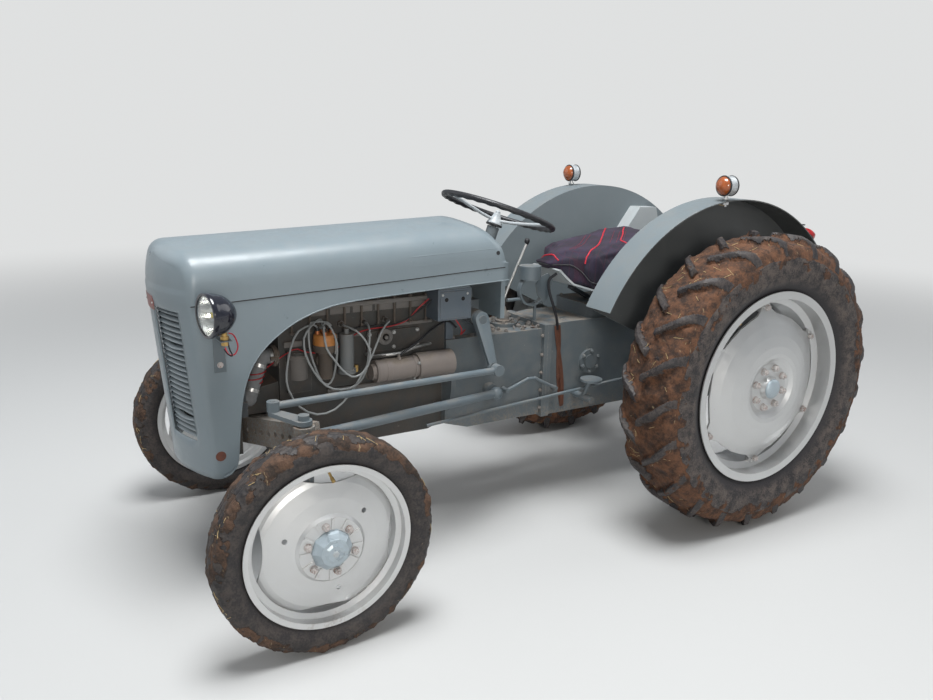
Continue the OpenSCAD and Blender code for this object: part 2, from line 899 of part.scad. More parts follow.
// The pads carry the lamps
module fender_shell() {
    difference() {
        bar_x([fender_in, 0, rear_z], fender_edge - fender_in, fender_r, $fn = 144);
        bar_x([fender_in + fender_wall, 0, rear_z], 400, fender_r - fender_wall, $fn = 144);
        translate([0, -900, -400])
            cube([700, 1900, 1060]);
        across(0, 700)
            polygon([[0, rear_z], [-1000, rear_z + 1000 * tan(fender_end)], [-1000, 0], [0, 0]]);
    }
    translate([fender_edge - 16, -76, rear_z + fender_r - 8])
        cylinder(r = 12, h = 10);
}

// Leads to the place of the tail lamp
module at_tail() {
    translate([0, 0, rear_z])
        rotate([-42, 0, 0])
            translate([fender_edge - 50, 0, fender_r])
                children();
}

module fender_left() {
    placed() color("slategray") {
        fender_shell();
        at_tail()
            translate([0, 0, -3])
                cylinder(r = 28, h = 5);
    }
}

module fender_right() {
    placed() color("slategray") right_side() fender_shell();
}

module fender_lamps() {
    z = rear_z + fender_r + 2 + seat_gap;
    placed() color("silver")
        for (s = [0, 1])
            mirror([s, 0, 0]) {
                bar_y([fender_edge - 16, -116, z + 10 + lamp_r], 76, lamp_r);
                translate([fender_edge - 16, -76, z])
                    cylinder(r = 8, h = 20);
            }
}

module tail_lamp() {
    placed() color("red")
        at_tail()
            translate([0, 0, 2 + seat_gap])
                cylinder(r = 36, h = 40);
}

// A strap beside the rear housing, hung by a belt from the front edge of the seat
belt_route = [
    [141, -590, 762], [141, -594, 792], [126, -604, 850], [102, -610, 905], [82, -598, 948],
    [72, -553.4, 971.4]
];

module strap() {
    placed() {
        color("saddlebrown")
            translate([135 + seat_gap, -606, 770])
                rotate([7, 0, 0])
                    translate([0, 0, -355])
                        cube([5, 30, 355]);
        color("black")
            cord(smooth(belt_route, 3), 4.5);
    }
}

// Bonnet with its grille and lamps, which tips forward in one piece

function bonnet_section(o) = concat(
    [[-bonnet_half + o, 300]],
    [[-bonnet_half + o, 1050]],
    arc(-bonnet_half + 95, 1095, 95 - o, 180, 112, 6),
    arc(0, 640, 567 - o, 108, 72, 12),
    arc(bonnet_half - 95, 1095, 95 - o, 68, 0, 6),
    [[bonnet_half - o, 1050]],
    [[bonnet_half - o, 300]]
);

// Plan of the nose: a bowed front with round corners, measured from its foremost line
function nose_plan(o) =
    let (
        yc = bow_r,
        xc = bonnet_half - corner_r,
        ym = yc - sqrt(pow(bow_r - corner_r, 2) - xc * xc),
        a = asin(xc / (bow_r - corner_r))
    )
    concat(
        [[-bonnet_half + o, 1600]],
        arc(-xc, ym, corner_r - o, 180, 270 - a, 6),
        arc(0, yc, bow_r - o, 270 - a, 270 + a, 12),
        arc(xc, ym, corner_r - o, 270 + a, 360, 6),
        [[bonnet_half - o, 1600]]
    );

module nose_frame() {
    translate([0, nose_front, nose_z])
        rotate([nose_lean, 0, 0])
            children();
}

module bonnet_form(o) {
    intersection() {
        translate([0, -1063, 0])
            rotate([2.2, 0, 0])
                translate([0, 1063, 0])
                    rotate([90, 0, 0])
                        linear_extrude(height = wheelbase + 722)
                            polygon(bonnet_section(o));
        nose_frame()
            translate([0, 0, -900])
                linear_extrude(height = 1500)
                    polygon(nose_plan(o));
        across(-300, 300)
            polygon([
                [front_y - 500, 200], [front_y - 500, 1000], [nose_front + 0.5 + o, 1040],
                [nose_front + 9 + o, 1112], [nose_front + 50 + o, 1160], [nose_front + 60, 1400],
                [-700, 1400], [-700, 200]
            ]);
    }
}

// The raised band below the rounded face
module nose_band() {
    a = asin(200 / bow_r);
    nose_frame()
        translate([0, bow_r, -30])
            rotate_extrude(start = 270 - a, angle = 2 * a)
                translate([bow_r - 1, 0])
                    square([2.4, 42]);
}

module bonnet() {
    f = front_y;
    placed() color("lightslategray") difference() {
        union() {
            bonnet_form(0);
            nose_band();
        }
        bonnet_form(bonnet_wall);
        across(-400, 400)
            polygon([
                [f - 177, 0], [f - 197, 428], [f - 167, 440], [f - 146, 472], [f - 138, 551],
                [f - 122, 684], [f - 89, 778], [f - 28, 853], [f + 73, 925], [f + 210, 964],
                [f + 428, 979], [-1155, 988], [-911, 998], [-915, 1050], [-940, 1110],
                [-985, 1165], [-1040, 1215], [-1060, 1300], [-500, 1300], [-500, 0]
            ]);
        translate([-400, f - 522, 0])
            cube([800, 400, 430]);
        for (i = [0, 1])
            mirror([i, 0, 0])
                translate([grille_x0, f - 522, grille_z0])
                    cube([grille_x1 - grille_x0, 400, grille_z1 - grille_z0]);
        bar_x([-300, hinge_y, hinge_z], 600, hinge_r + fit);
    }
}

// Slats between upright rails, left between slanted slots in one bowed plate
module grille() {
    z0 = grille_z0 - nose_z - 8;
    z1 = grille_z1 - nose_z + 8;
    r = bow_r - bonnet_wall - skin_gap;
    depth = 16;
    rail = 1.1;
    a0 = asin((grille_x0 - 8) / r);
    a1 = asin((grille_x1 + 8) / r);
    pitch = (z1 - z0 - 24) / (slat_n - 1);
    placed() color("lightslategray")
        nose_frame()
            translate([0, bow_r, 0])
                difference() {
                    translate([0, 0, z0])
                        rotate_extrude(start = 270 - a1, angle = 2 * a1)
                            translate([r - depth, 0])
                                square([depth, z1 - z0]);
                    translate([0, 0, z0 + 7])
                        rotate_extrude(start = 270 - a0 + rail, angle = 2 * (a0 - rail))
                            translate([r - depth - 3, 0])
                                square([depth + 6, z1 - z0 - 14]);
                    for (i = [0:slat_n - 2], m = [0, 1])
                        mirror([m, 0, 0])
                            translate([0, 0, z0 + 8 + i * pitch])
                                rotate_extrude(start = 270 + a0 + rail, angle = a1 - a0 - 2 * rail)
                                    polygon([
                                        [r - depth - 1, 9], [r + 1, 0], [r + 1, pitch - 3.4],
                                        [r - depth - 1, pitch + 5.6]
                                    ]);
                }
}

// A bullet-shaped bowl with a domed lens, on a bent strip bolted to the bonnet's side
module headlamp() {
    r = headlamp_r;
    y = front_y - 236;
    foot = 985 - r - 18;
    color("midnightblue") {
        translate([330, y, 985])
            rotate([-90, 0, 0])
                rotate_extrude()
                    polygon(concat(
                        [
                            [0, -14], [r * 0.4, -13], [r * 0.75, -9], [r - 3, -4],
                            [r + 3, -4], [r + 4, 2], [r + 3, 9]
                        ],
                        arc(0, 12, r, 0, 30, 3),
                        [[r * 0.72, r * 0.86], [r * 0.54, r * 1.12], [r * 0.3, r * 1.32], [0, r * 1.38]]
                    ));
        translate([bonnet_half + seat_gap, y + 32, 783])
            cube([4, 36, foot - 783]);
        translate([bonnet_half + seat_gap, y + 32, foot])
            cube([100, 36, 4]);
        translate([330, y + 50, foot])
            cylinder(r = 8, h = 32);
        bar_x([bonnet_half + 4, y + 50, 808], 7, 8);
        translate([330, y + 50, foot - 14])
            cylinder(r = 11, h = 14.1, $fn = 6);
    }
}

module headlamp_left() {
    placed() headlamp();
}

module headlamp_right() {
    placed() right_side() headlamp();
}

// Wheels, drawn about their own axle with the outer side up

module front_tyre() {
    h = front_tyre_w / 2;
    r1 = front_flange_r - 13;
    color("dimgray")
        rotate_extrude($fn = 96)
            polygon([
                [r1, -36], [front_flange_r - 2, -40], [front_flange_r + 8, -46],
                [front_flange_r + 30, -h], [front_flange_r + 45, -h], [front_tyre_r - 20, -h + 12],
                [front_tyre_r - 6, -h + 26], [front_tyre_r, -14], [front_tyre_r, 14],
                [front_tyre_r - 6, h - 26], [front_tyre_r - 20, h - 12],
                [front_flange_r + 45, h], [front_flange_r + 30, h], [front_flange_r + 8, 46],
                [front_flange_r - 2, 40], [r1, 36]
            ]);
}

module front_wheel() {
    f = front_rim_w / 2;
    r1 = front_flange_r - 13.3;
    nut_turn = 12.5;
    slot_turn = -4;
    color("silver") difference() {
        union() {
            rotate_extrude($fn = 96)
                polygon([
                    [front_flange_r, -f], [front_flange_r, -f + 4], [r1 + 1, -f + 5],
                    [r1, -36], [r1, -18], [r1 - 18, -12], [r1 - 18, 12], [r1, 18],
                    [r1, 36], [r1 + 1, f - 5], [front_flange_r, f - 4], [front_flange_r, f],
                    [r1 - 4, f - 1], [r1 - 4, 20], [r1 - 22, 14], [r1 - 22, -14],
                    [r1 - 4, -20], [r1 - 4, -f + 1]
                ]);
            rotate_extrude()
                polygon([
                    [0, 43], [96, 43], [104, 37], [150, 29], [195, 17], [210, 11], [r1 - 19, 2],
                    [r1 - 19, 7], [212, 16], [197, 22], [151, 34], [107, 43], [98, 51], [60, 51], [56, 49],
                    [0, 49]
                ]);
            translate([0, 0, -58])
                cylinder(r = 42, h = 102);
            rotate_extrude()
                polygon([[0, 48], [58, 48], [57, 58], [40, 76], [22, 84], [0, 86]]);
            for (i = [0:5])
                rotate([0, 0, nut_turn + i * 60]) {
                    translate([75, 0, 50])
                        cylinder(r = 10, h = 12, $fn = 6);
                    for (a = [16, 44])
                        rotate([0, 0, a])
                            translate([64, -4, 50])
                                cube([33, 8, 5]);
                }
        }
        for (i = [0:3])
            rotate([0, 0, slot_turn + i * 90])
                translate([0, 0, -10])
                    linear_extrude(height = 50)
                        polygon(concat(
                            arc(0, 0, r1 - 21, -slot_span, slot_span, 8),
                            [for (t = [0.7, 0.35, 0, -0.35, -0.7])
                                (slot_in + (r1 - 22 - slot_in) * t * t)
                                    * [cos(slot_span * t), sin(slot_span * t)]]
                        ));
        for (a = [10, 130, 250])
            rotate([0, 0, a])
                translate([142, 0, 0])
                    cylinder(r = 8, h = 60);
        translate([0, 0, -80])
            cylinder(r = stub_r + fit, h = 122);
    }
}

module at_front(s) {
    placed()
        mirror([s, 0, 0])
            translate([front_x, front_y, front_z])
                rotate([0, 90, 0])
                    children();
}

module lug() {
    h = rear_tyre_w / 2;
    base = rear_tyre_r - lug_h - 52;
    translate([base, 0, 0])
        rotate([90, 0, 90])
            linear_extrude(height = sqrt(pow(rear_tyre_r, 2) - pow(2.5 * lug_w, 2)) - base)
                polygon([
                    [lug_w * 0.7, 4], [lug_w * 1.5, 4], [lug_w * 0.2, h * 0.55],
                    [-lug_w * 1.5, h - 6], [-lug_w * 2.5, h - 6], [-lug_w * 0.8, h * 0.45]
                ]);
}

module rear_tyre() {
    h = rear_tyre_w / 2;
    r1 = rear_flange_r - 25;
    tread = rear_tyre_r - lug_h;
    color("sienna") {
        rotate_extrude($fn = 96)
            polygon([
                [r1, -100], [rear_flange_r - 1, -104], [rear_flange_r + 12, -112],
                [rear_flange_r + 50, -h + 4], [rear_flange_r + 85, -h], [tread - 55, -h + 6],
                [tread - 22, -h + 22], [tread - 6, -h + 60], [tread, 0],
                [tread - 6, h - 60], [tread - 22, h - 22], [tread - 55, h - 6],
                [rear_flange_r + 85, h], [rear_flange_r + 50, h - 4], [rear_flange_r + 12, 112],
                [rear_flange_r - 1, 104], [r1, 100]
            ]);
        for (i = [0:lug_n - 1]) {
            rotate([0, 0, i * 360 / lug_n])
                lug();
            rotate([0, 0, (i + 0.5) * 360 / lug_n])
                mirror([0, 0, 1])
                    lug();
        }
    }
}

// Radius of the wheel centre's outline at an angle d from a clamp
function disc_r(d) = rear_disc_r - 37 + 37 * pow(cos(3 * d), 16);

module rear_wheel() {
    f = rear_rim_w / 2;
    r1 = rear_flange_r - 25.3;
    clamp_turn = 3;
    nut_turn = -15 + 90;
    color("silver") difference() {
        union() {
            rotate_extrude($fn = 96)
                polygon([
                    [rear_flange_r, -f], [rear_flange_r, -f + 5], [r1 + 1, -f + 6],
                    [r1, -100], [r1, -50], [r1 - 26, -40], [r1 - 26, 40], [r1, 50],
                    [r1, 100], [r1 + 1, f - 6], [rear_flange_r, f - 5], [rear_flange_r, f],
                    [r1 - 5, f - 2], [r1 - 5, 53], [r1 - 31, 43], [r1 - 31, -43],
                    [r1 - 5, -53], [r1 - 5, -f + 2]
                ]);
            intersection() {
                rotate_extrude()
                    polygon([
                        [0, 93], [96, 93], [112, 98], [126, 110], [140, 112], [165, 108], [205, 97],
                        [245, 80], [280, 62], [310, 49], [330, 44], [330, 51], [311, 56], [282, 69],
                        [248, 87], [207, 104], [166, 115], [138, 119], [122, 116], [107, 105], [94, 100],
                        [0, 100]
                    ]);
                linear_extrude(height = 200)
                    polygon([
                        for (k = [0:5], d = [-30, -18, -10, -6, -3, 0, 3, 6, 10, 18])
                            let (a = clamp_turn + 60 * k + d, r = disc_r(d)) [r * cos(a), r * sin(a)]
                    ]);
            }
            for (k = [0:5])
                rotate([0, 0, clamp_turn + 60 * k])
                    translate([0, 0, 0]) {
                        translate([rear_disc_r - 28, -22, 34])
                            cube([r1 - 28 - rear_disc_r + 28, 44, 17]);
                        translate([rear_disc_r - 11, -14, 50])
                            cube([r1 - 29 - rear_disc_r + 11, 28, 14]);
                        translate([rear_disc_r - 11, 0, 50])
                            cylinder(r = 11, h = 24, $fn = 6);
                    }
            translate([0, 0, -46])
                cylinder(r = 58, h = 140);
            translate([0, 0, 99])
                cylinder(r = 40, h = 18);
            rotate_extrude()
                polygon([[0, 110], [38, 110], [36, 124], [24, 130], [0, 132]]);
            for (k = [0:7])
                rotate([0, 0, nut_turn + 45 * k])
                    translate([79, 0, 99])
                        cylinder(r = 12, h = 16, $fn = 6);
        }
        translate([0, 0, -60])
            cylinder(r = rear_stub_r + fit, h = 60 + stub_reach + 0.5);
    }
}

module at_rear(s) {
    placed()
        mirror([s, 0, 0])
            translate([rear_x, 0, rear_z])
                rotate([0, 90, 0])
                    children();
}

module front_tyre_left() {
    at_front(0) front_tyre();
}

module front_tyre_right() {
    at_front(1) front_tyre();
}

module front_wheel_left() {
    at_front(0) front_wheel();
}

module front_wheel_right() {
    at_front(1) front_wheel();
}

module rear_tyre_left() {
    at_rear(0) rear_tyre();
}

module rear_tyre_right() {
    at_rear(1) rear_tyre();
}

module rear_wheel_left() {
    at_rear(0) rear_wheel();
}

module rear_wheel_right() {
    at_rear(1) rear_wheel();
}

// Hitch

module lift_arms() {
    placed() color("slategray")
        for (s = [0, 1])
            mirror([s, 0, 0])
                difference() {
                    hull() {
                        bar_x([124, lift_pivot[0], lift_pivot[1]], 18, 36);
                        bar_x([160, rod_y, 800], 14, 20);
                    }
                    bar_x([100, lift_pivot[0], lift_pivot[1]], 80, 18 + fit);
                }
}

// A lower link splays outwards, and its end eye is square to it
link_dx = link_x1 - link_x0;
link_half = 7;
link_end_r = 27;
link_splay = atan(link_dx / (link_reach - link_end_r - link_pivot[0]));
link_end_y = link_reach - link_end_r * cos(link_splay) - link_half * sin(link_splay);
link_len = (link_end_y - link_pivot[0]) / cos(link_splay);
link_end_x = link_x0 + link_half + link_len * sin(link_splay);

function link_x(y) =
    link_x0 + link_half + (y - link_pivot[0]) * tan(link_splay) - link_half / cos(link_splay);

module lower_link() {
    color("slategray") difference() {
        union() {
            bar_x([link_x0, link_pivot[0], link_pivot[1]], 2 * link_half, 26);
            translate([link_x0 + link_half, link_pivot[0], link_pivot[1]])
                rotate([0, 0, -link_splay]) {
                    translate([-link_half, 0, -22])
                        cube([2 * link_half, link_len, 44]);
                    bar_x([-link_half, link_len, 0], 2 * link_half, link_end_r);
                }
        }
        bar_x([100, link_pivot[0], link_pivot[1]], 160, 12 + fit);
        bar_x([100, rod_y, link_pivot[1]], 300, 9 + fit);
        translate([link_end_x, link_end_y, link_pivot[1]])
            rotate([0, 0, -link_splay])
                bar_x([-80, 0, 0], 160, link_eye_r);
    }
}

module lift_rod() {
    x = link_x(rod_y) - 22;
    color("silver") {
        bar_x([x - 12, rod_y, link_pivot[1]], 48, 9);
        bar_x([x - 12, rod_y, link_pivot[1]], 14, 20);
        rod([x - 5, rod_y, link_pivot[1]], [187, rod_y, 800], 11);
        bar_x([180, rod_y, 800], 14, 20);
    }
}

module lower_link_left() {
    placed() lower_link();
}

module lower_link_right() {
    placed() right_side() lower_link();
}

module lift_rod_left() {
    placed() lift_rod();
}

module lift_rod_right() {
    placed() right_side() lift_rod();
}

front_support();
front_axle();
radiator();
hoses();
fan();
engine();
distributor();
spark_leads();
oil_filter();
starter();
generator();
manifold();
exhaust();
air_cleaner();
dash();
fuel_tank();
regulator_box();
gearbox();
rear_housing();
axle_housings();
steering_box();
gear_lever();
controls();
seat_spring();
seat_pan();
seat_cushion();
rear_box();
canister();
fender_left();
fender_right();
fender_lamps();
tail_lamp();
strap();
radius_rods();
bonnet();
grille();
headlamp_left();
headlamp_right();
steering_wheel();
knuckle_left();
knuckle_right();
drop_arm_left();
drop_arm_right();
drag_link_left();
drag_link_right();
front_tyre_left();
front_tyre_right();
front_wheel_left();
front_wheel_right();
rear_tyre_left();
rear_tyre_right();
rear_wheel_left();
rear_wheel_right();
lift_arms();
lower_link_left();
lower_link_right();
lift_rod_left();
lift_rod_right();
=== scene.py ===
import bmesh, bpy, math, random
import numpy as np
from mathutils import Matrix, Vector, noise
from mathutils.bvhtree import BVHTree


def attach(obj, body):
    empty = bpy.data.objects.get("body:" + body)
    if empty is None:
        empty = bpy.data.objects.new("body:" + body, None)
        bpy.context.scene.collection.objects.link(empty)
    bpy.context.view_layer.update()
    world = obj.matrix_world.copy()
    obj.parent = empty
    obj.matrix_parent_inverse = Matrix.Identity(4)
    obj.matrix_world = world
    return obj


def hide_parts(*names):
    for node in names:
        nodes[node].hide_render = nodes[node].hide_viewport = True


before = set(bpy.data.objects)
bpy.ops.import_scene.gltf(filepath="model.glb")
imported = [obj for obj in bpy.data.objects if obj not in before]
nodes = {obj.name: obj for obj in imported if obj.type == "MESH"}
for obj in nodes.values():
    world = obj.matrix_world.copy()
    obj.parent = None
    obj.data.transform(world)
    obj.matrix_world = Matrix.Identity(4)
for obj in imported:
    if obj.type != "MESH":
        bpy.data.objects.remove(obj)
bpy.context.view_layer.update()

scene = bpy.context.scene

# The part's own measures are taken from the rear axle line, which lies here in the shared frame
AXLE_Y = 0.6615
WHEELBASE = 1.778
REAR_X, REAR_R = 0.626, 0.59
FRONT_X, FRONT_R = 0.632, 0.341
SIDES = ((1, "left"), (-1, "right"))
SHARP = math.radians(38)
# The camera as it was solved from the photograph: degrees, metres, and a focal length in pixels
CAMERA_TURN, CAMERA_RISE, CAMERA_ROLL = 59.29, 15.09, 1.31
CAMERA_PLACE = (2.6672, -2.517, 1.5096)
FOCAL_PIXELS, PHOTO_WIDTH = 798.19, 933
SENSOR = 36.0


def P(x, y, z):
    """A place measured from the rear axle line, in the shared frame."""
    return Vector((x, y + AXLE_Y, z))


def path_of(points, side=1):
    return [P(side * x, y, z) for x, y, z in points]


def object_of(name, data):
    ob = bpy.data.objects.new(name, data)
    scene.collection.objects.link(ob)
    return ob


def rotation(degrees, axis):
    return Matrix.Rotation(math.radians(degrees), 4, axis)


def facing(side):
    """What is made looking left is turned round for the right side."""
    return rotation(0 if side > 0 else 180, "Z")


def place_camera():
    """The camera stands where the photograph was taken from."""
    az, el, roll = (math.radians(a) for a in (CAMERA_TURN, CAMERA_RISE, CAMERA_ROLL))
    back = Vector((math.sin(az) * math.cos(el), -math.cos(az) * math.cos(el), math.sin(el)))
    right = Vector((math.cos(az), math.sin(az), 0.0))
    up = back.cross(right)
    r2 = right * math.cos(roll) + up * math.sin(roll)
    u2 = up * math.cos(roll) - right * math.sin(roll)
    data = bpy.data.cameras.new("camera")
    data.sensor_width = SENSOR
    data.lens = SENSOR * FOCAL_PIXELS / PHOTO_WIDTH
    data.clip_end = 100.0
    m = Matrix((r2, u2, back)).transposed().to_4x4()
    m.translation = P(*CAMERA_PLACE)
    scene.camera = object_of("camera", data)
    scene.camera.matrix_world = m


place_camera()


# Shader node groups and materials
class Graph:
    """Short ways to add and join shader nodes in one tree."""

    def __init__(self, tree):
        self.t = tree

    def put(self, socket, value):
        """Link a socket to another node's output, or set its own value."""
        if hasattr(value, "is_output"):
            self.t.links.new(value, socket)
        elif socket.type == "RGBA" and len(value) == 3:
            socket.default_value = tuple(value) + (1.0,)
        else:
            socket.default_value = value

    def feed(self, n, **values):
        """Set a node's inputs, or its properties, by name."""
        for k, v in values.items():
            label = k.replace("_", " ")
            if label in n.inputs:
                self.put(n.inputs[label], v)
            else:
                setattr(n, k, v)

    def add(self, kind, *values, **named):
        """A new node, with its first inputs and its named ones set."""
        n = self.t.nodes.new("ShaderNode" + kind)
        self.feed(n, **named)
        for k, v in enumerate(values):
            self.put(n.inputs[k], v)
        return n

    def math(self, op, a, *b, clamp=False):
        return self.add("Math", a, *b, operation=op, use_clamp=clamp).outputs[0]

    def mul(self, a, b, clamp=False):
        return self.math("MULTIPLY", a, b, clamp=clamp)

    def plus(self, a, b):
        return self.math("ADD", a, b)

    def less(self, a, b):
        return self.math("SUBTRACT", a, b)

    def most(self, a, b):
        return self.math("MAXIMUM", a, b)

    def vector(self, op, a, b):
        return self.add("VectorMath", a, b, operation=op).outputs

    def along(self, vector, axis):
        return self.add("SeparateXYZ", vector).outputs[axis]

    def ramp(self, *values):
        """A soft step: value, low and high, and what they turn into, 0 and 1 unless given."""
        return self.add("MapRange", *values, interpolation_type="SMOOTHSTEP").outputs[0]

    def mix(self, factor, a, b):
        n = self.add("Mix", factor, data_type="RGBA")
        self.put(n.inputs[6], a)
        self.put(n.inputs[7], b)
        return n.outputs[2]

    def noise(self, vector, scale, detail=4.0, rough=0.55):
        return self.add("TexNoise", vector, Scale=scale, Detail=detail, Roughness=rough).outputs["Fac"]

    def grouped(self, tree, **values):
        n = self.add("Group", node_tree=tree)
        self.feed(n, **values)
        return n.outputs

    def normal(self):
        return self.add("NewGeometry").outputs["Normal"]


def group(name, *inputs):
    """A new shader node group: its inputs are (name, kind, default)."""
    t = bpy.data.node_groups.new(name, "ShaderNodeTree")
    for label, kind, default in inputs:
        s = t.interface.new_socket(label, in_out="INPUT", socket_type="NodeSocket" + kind)
        if default is not None:
            s.default_value = default if kind != "Color" else default + (1.0,)
    for label, kind in (("Color", "Color"), ("Roughness", "Float"), ("Height", "Float")):
        t.interface.new_socket(label, in_out="OUTPUT", socket_type="NodeSocket" + kind)
    return Graph(t), t.nodes.new("NodeGroupInput").outputs, t.nodes.new("NodeGroupOutput")


def make_field_wear():
    """Paint that has aged outdoors: mottled tone, worn edges, settled dust and splashed mud."""
    g, i, out = group("field_wear", ("Place", "Vector", None), ("Paint", "Color", (0.2, 0.25, 0.28)),
                      ("Bare", "Color", (0.35, 0.34, 0.32)), ("Dust", "Color", (0.24, 0.2, 0.16)),
                      ("Mottle", "Float", 0.25), ("Wear", "Float", 0.3), ("Dusty", "Float", 0.3),
                      ("Mud Line", "Float", 0.45), ("Gloss", "Float", 0.45))
    place = i["Place"]
    mid = g.noise(place, 17.0, 6.0, 0.62)
    fine = g.noise(place, 130.0, 4.0, 0.6)
    tone = g.plus(g.mul(g.noise(place, 3.2, 5.0), 0.6), g.mul(mid, 0.4))
    paint = g.add("VectorMath", i["Paint"], operation="SCALE")
    g.feed(paint, Scale=g.plus(g.mul(g.less(tone, 0.5), i["Mottle"]), 1.0))
    # Edges are found where a rounded normal differs from the true one
    rounded = g.add("Bevel", samples=3, Radius=0.005).outputs[0]
    edge = g.ramp(g.vector("DOT_PRODUCT", rounded, g.normal())["Value"], 0.995, 0.8)
    chips = g.ramp(g.plus(g.mul(fine, 0.5), g.mul(mid, 0.5)), 0.5, 0.62)
    worn = g.mul(g.mul(edge, g.plus(chips, 0.25)), i["Wear"], True)
    spots = g.mul(g.ramp(g.noise(place, 46.0, 3.0, 0.7), 0.7, 0.76), i["Wear"])
    worn = g.most(worn, g.mul(spots, 0.8))
    # Dust lies on what faces up, and mud is splashed low down
    up = g.ramp(g.along(g.normal(), "Z"), 0.25, 0.95)
    dust = g.mul(g.mul(g.plus(up, 0.18), g.ramp(mid, 0.36, 0.66)), i["Dusty"], True)
    line = g.plus(i["Mud Line"], g.mul(g.less(mid, 0.5), 0.35))
    depth = g.ramp(g.less(line, g.along(place, "Z")), 0.0, 0.18)
    dirt = g.most(dust, g.mul(g.mul(depth, g.ramp(fine, 0.42, 0.56)), 0.85))
    rough = g.plus(g.plus(i["Gloss"], g.mul(g.less(mid, 0.5), 0.35)), g.mul(dirt, 0.4))
    rise = g.plus(g.mul(fine, 0.3), g.mul(dirt, 0.7))
    g.feed(out, Color=g.mix(dirt, g.mix(worn, paint.outputs[0], i["Bare"]), i["Dust"]),
           Roughness=g.math("MINIMUM", rough, 1.0), Height=g.less(rise, g.mul(worn, 0.4)))
    return g.t


def make_caked_mud():
    """Dry field mud with straw: clods, cracks and a darker tone in the hollows."""
    g, i, out = group("caked_mud", ("Place", "Vector", None), ("Light", "Color", (0.17, 0.115, 0.085)),
                      ("Dark", "Color", (0.05, 0.032, 0.025)), ("Size", "Float", 24.0))
    place = i["Place"]
    blend = g.plus(g.mul(g.noise(place, i["Size"], 6.0, 0.62), 0.65),
                   g.mul(g.noise(place, 140.0, 5.0, 0.65), 0.35))
    stretch = g.add("Mapping", place, Scale=(9.0, 55.0, 14.0), Rotation=(0.6, 0.9, 0.4)).outputs[0]
    straw = g.mul(g.ramp(g.noise(stretch, 2.4, 2.0, 0.5), 0.7, 0.735), 0.55)
    soil = g.mix(g.ramp(blend, 0.38, 0.62), i["Dark"], i["Light"])
    g.feed(out, Color=g.mix(straw, soil, (0.34, 0.26, 0.15)), Roughness=g.ramp(blend, 0.3, 0.7, 0.78, 0.97),
           Height=g.plus(g.mul(blend, 0.8), g.mul(g.noise(place, 420.0, 3.0, 0.6), 0.2)))
    return g.t


FIELD_WEAR = make_field_wear()
CAKED_MUD = make_caked_mud()
MATERIALS = {}


def new_material(name):
    """A new material's graph, its surface node and the object coordinates."""
    m = MATERIALS[name] = bpy.data.materials.new(name)
    m.use_nodes = True
    g = Graph(m.node_tree)
    return g, m.node_tree.nodes["Principled BSDF"], g.add("TexCoord").outputs["Object"]


def surface(g, bsdf, colour, rough, height, strength, distance, **others):
    relief = g.add("Bump", Strength=strength, Distance=distance, Height=height).outputs[0]
    g.feed(bsdf, Base_Color=colour, Roughness=rough, Normal=relief, **others)


def worn_paint(name, paint, bare=(0.34, 0.33, 0.31), dust=(0.22, 0.185, 0.15), mottle=0.3, wear=0.35,
               dusty=0.3, mud_line=0.3, gloss=0.42, metallic=0.0, strength=0.25):
    g, bsdf, place = new_material(name)
    out = g.grouped(FIELD_WEAR, Place=place, Paint=paint, Bare=bare, Dust=dust, Mottle=mottle, Wear=wear,
                    Dusty=dusty, Mud_Line=mud_line, Gloss=gloss)
    surface(g, bsdf, out["Color"], out["Roughness"], out["Height"], strength, 0.002, Metallic=metallic)


def simple(name, colour, rough=0.5, metallic=0.0, vary=0.2, grain=60.0, strength=0.1, coat=0.0):
    """One tone that varies a little, with the same grain in its gloss and relief."""
    g, bsdf, place = new_material(name)
    f = g.noise(place, grain)
    tone = g.mix(f, tuple(c * (1 - vary) for c in colour), tuple(min(1.0, c * (1 + vary)) for c in colour))
    gloss = g.ramp(f, 0.3, 0.7, max(0.03, rough - 0.08), min(1.0, rough + 0.1))
    surface(g, bsdf, tone, gloss, f, strength, 0.001, Metallic=metallic, Coat_Weight=coat)


def fender_material():
    """The hollow side that faces the tyre is painted dark and dull as shade: its normals point to the axle.
    """
    # inside is the painted shade colour of the hollow side
    outside, inside = (0.165, 0.195, 0.21), (0.078, 0.084, 0.086)
    worn_paint("fender_paint_and_shade", outside, gloss=0.42, wear=0.35, dusty=0.15, mottle=0.25, mud_line=0.75)
    g = Graph(MATERIALS["fender_paint_and_shade"].node_tree)
    place = g.add("TexCoord").outputs["Object"]
    arm = g.vector("SUBTRACT", place, (0.0, AXLE_Y, REAR_R))[0]
    arm = g.vector("MULTIPLY", arm, (0.0, 1.0, 1.0))[0]
    # Painted shade mask: faces turned to the axle, or facing away from the tractor's middle
    painted_shade_mask = g.ramp(g.vector("DOT_PRODUCT", arm, g.normal())["Value"], -0.15, -0.45)
    outward = g.mul(g.math("SIGN", g.along(place, "X")), g.along(g.normal(), "X"))
    painted_shade_mask = g.most(painted_shade_mask, g.ramp(outward, 0.6, 0.9))
    wear = next(n for n in g.t.nodes if n.type == "GROUP")
    g.feed(wear, Paint=g.mix(painted_shade_mask, outside, inside))


def mud_material():
    g, bsdf, place = new_material("field_mud")
    out = g.grouped(CAKED_MUD, Place=place, Light=(0.165, 0.105, 0.075), Dark=(0.04, 0.026, 0.02), Size=22.0)
    surface(g, bsdf, out["Color"], out["Roughness"], out["Height"], 0.9, 0.008)


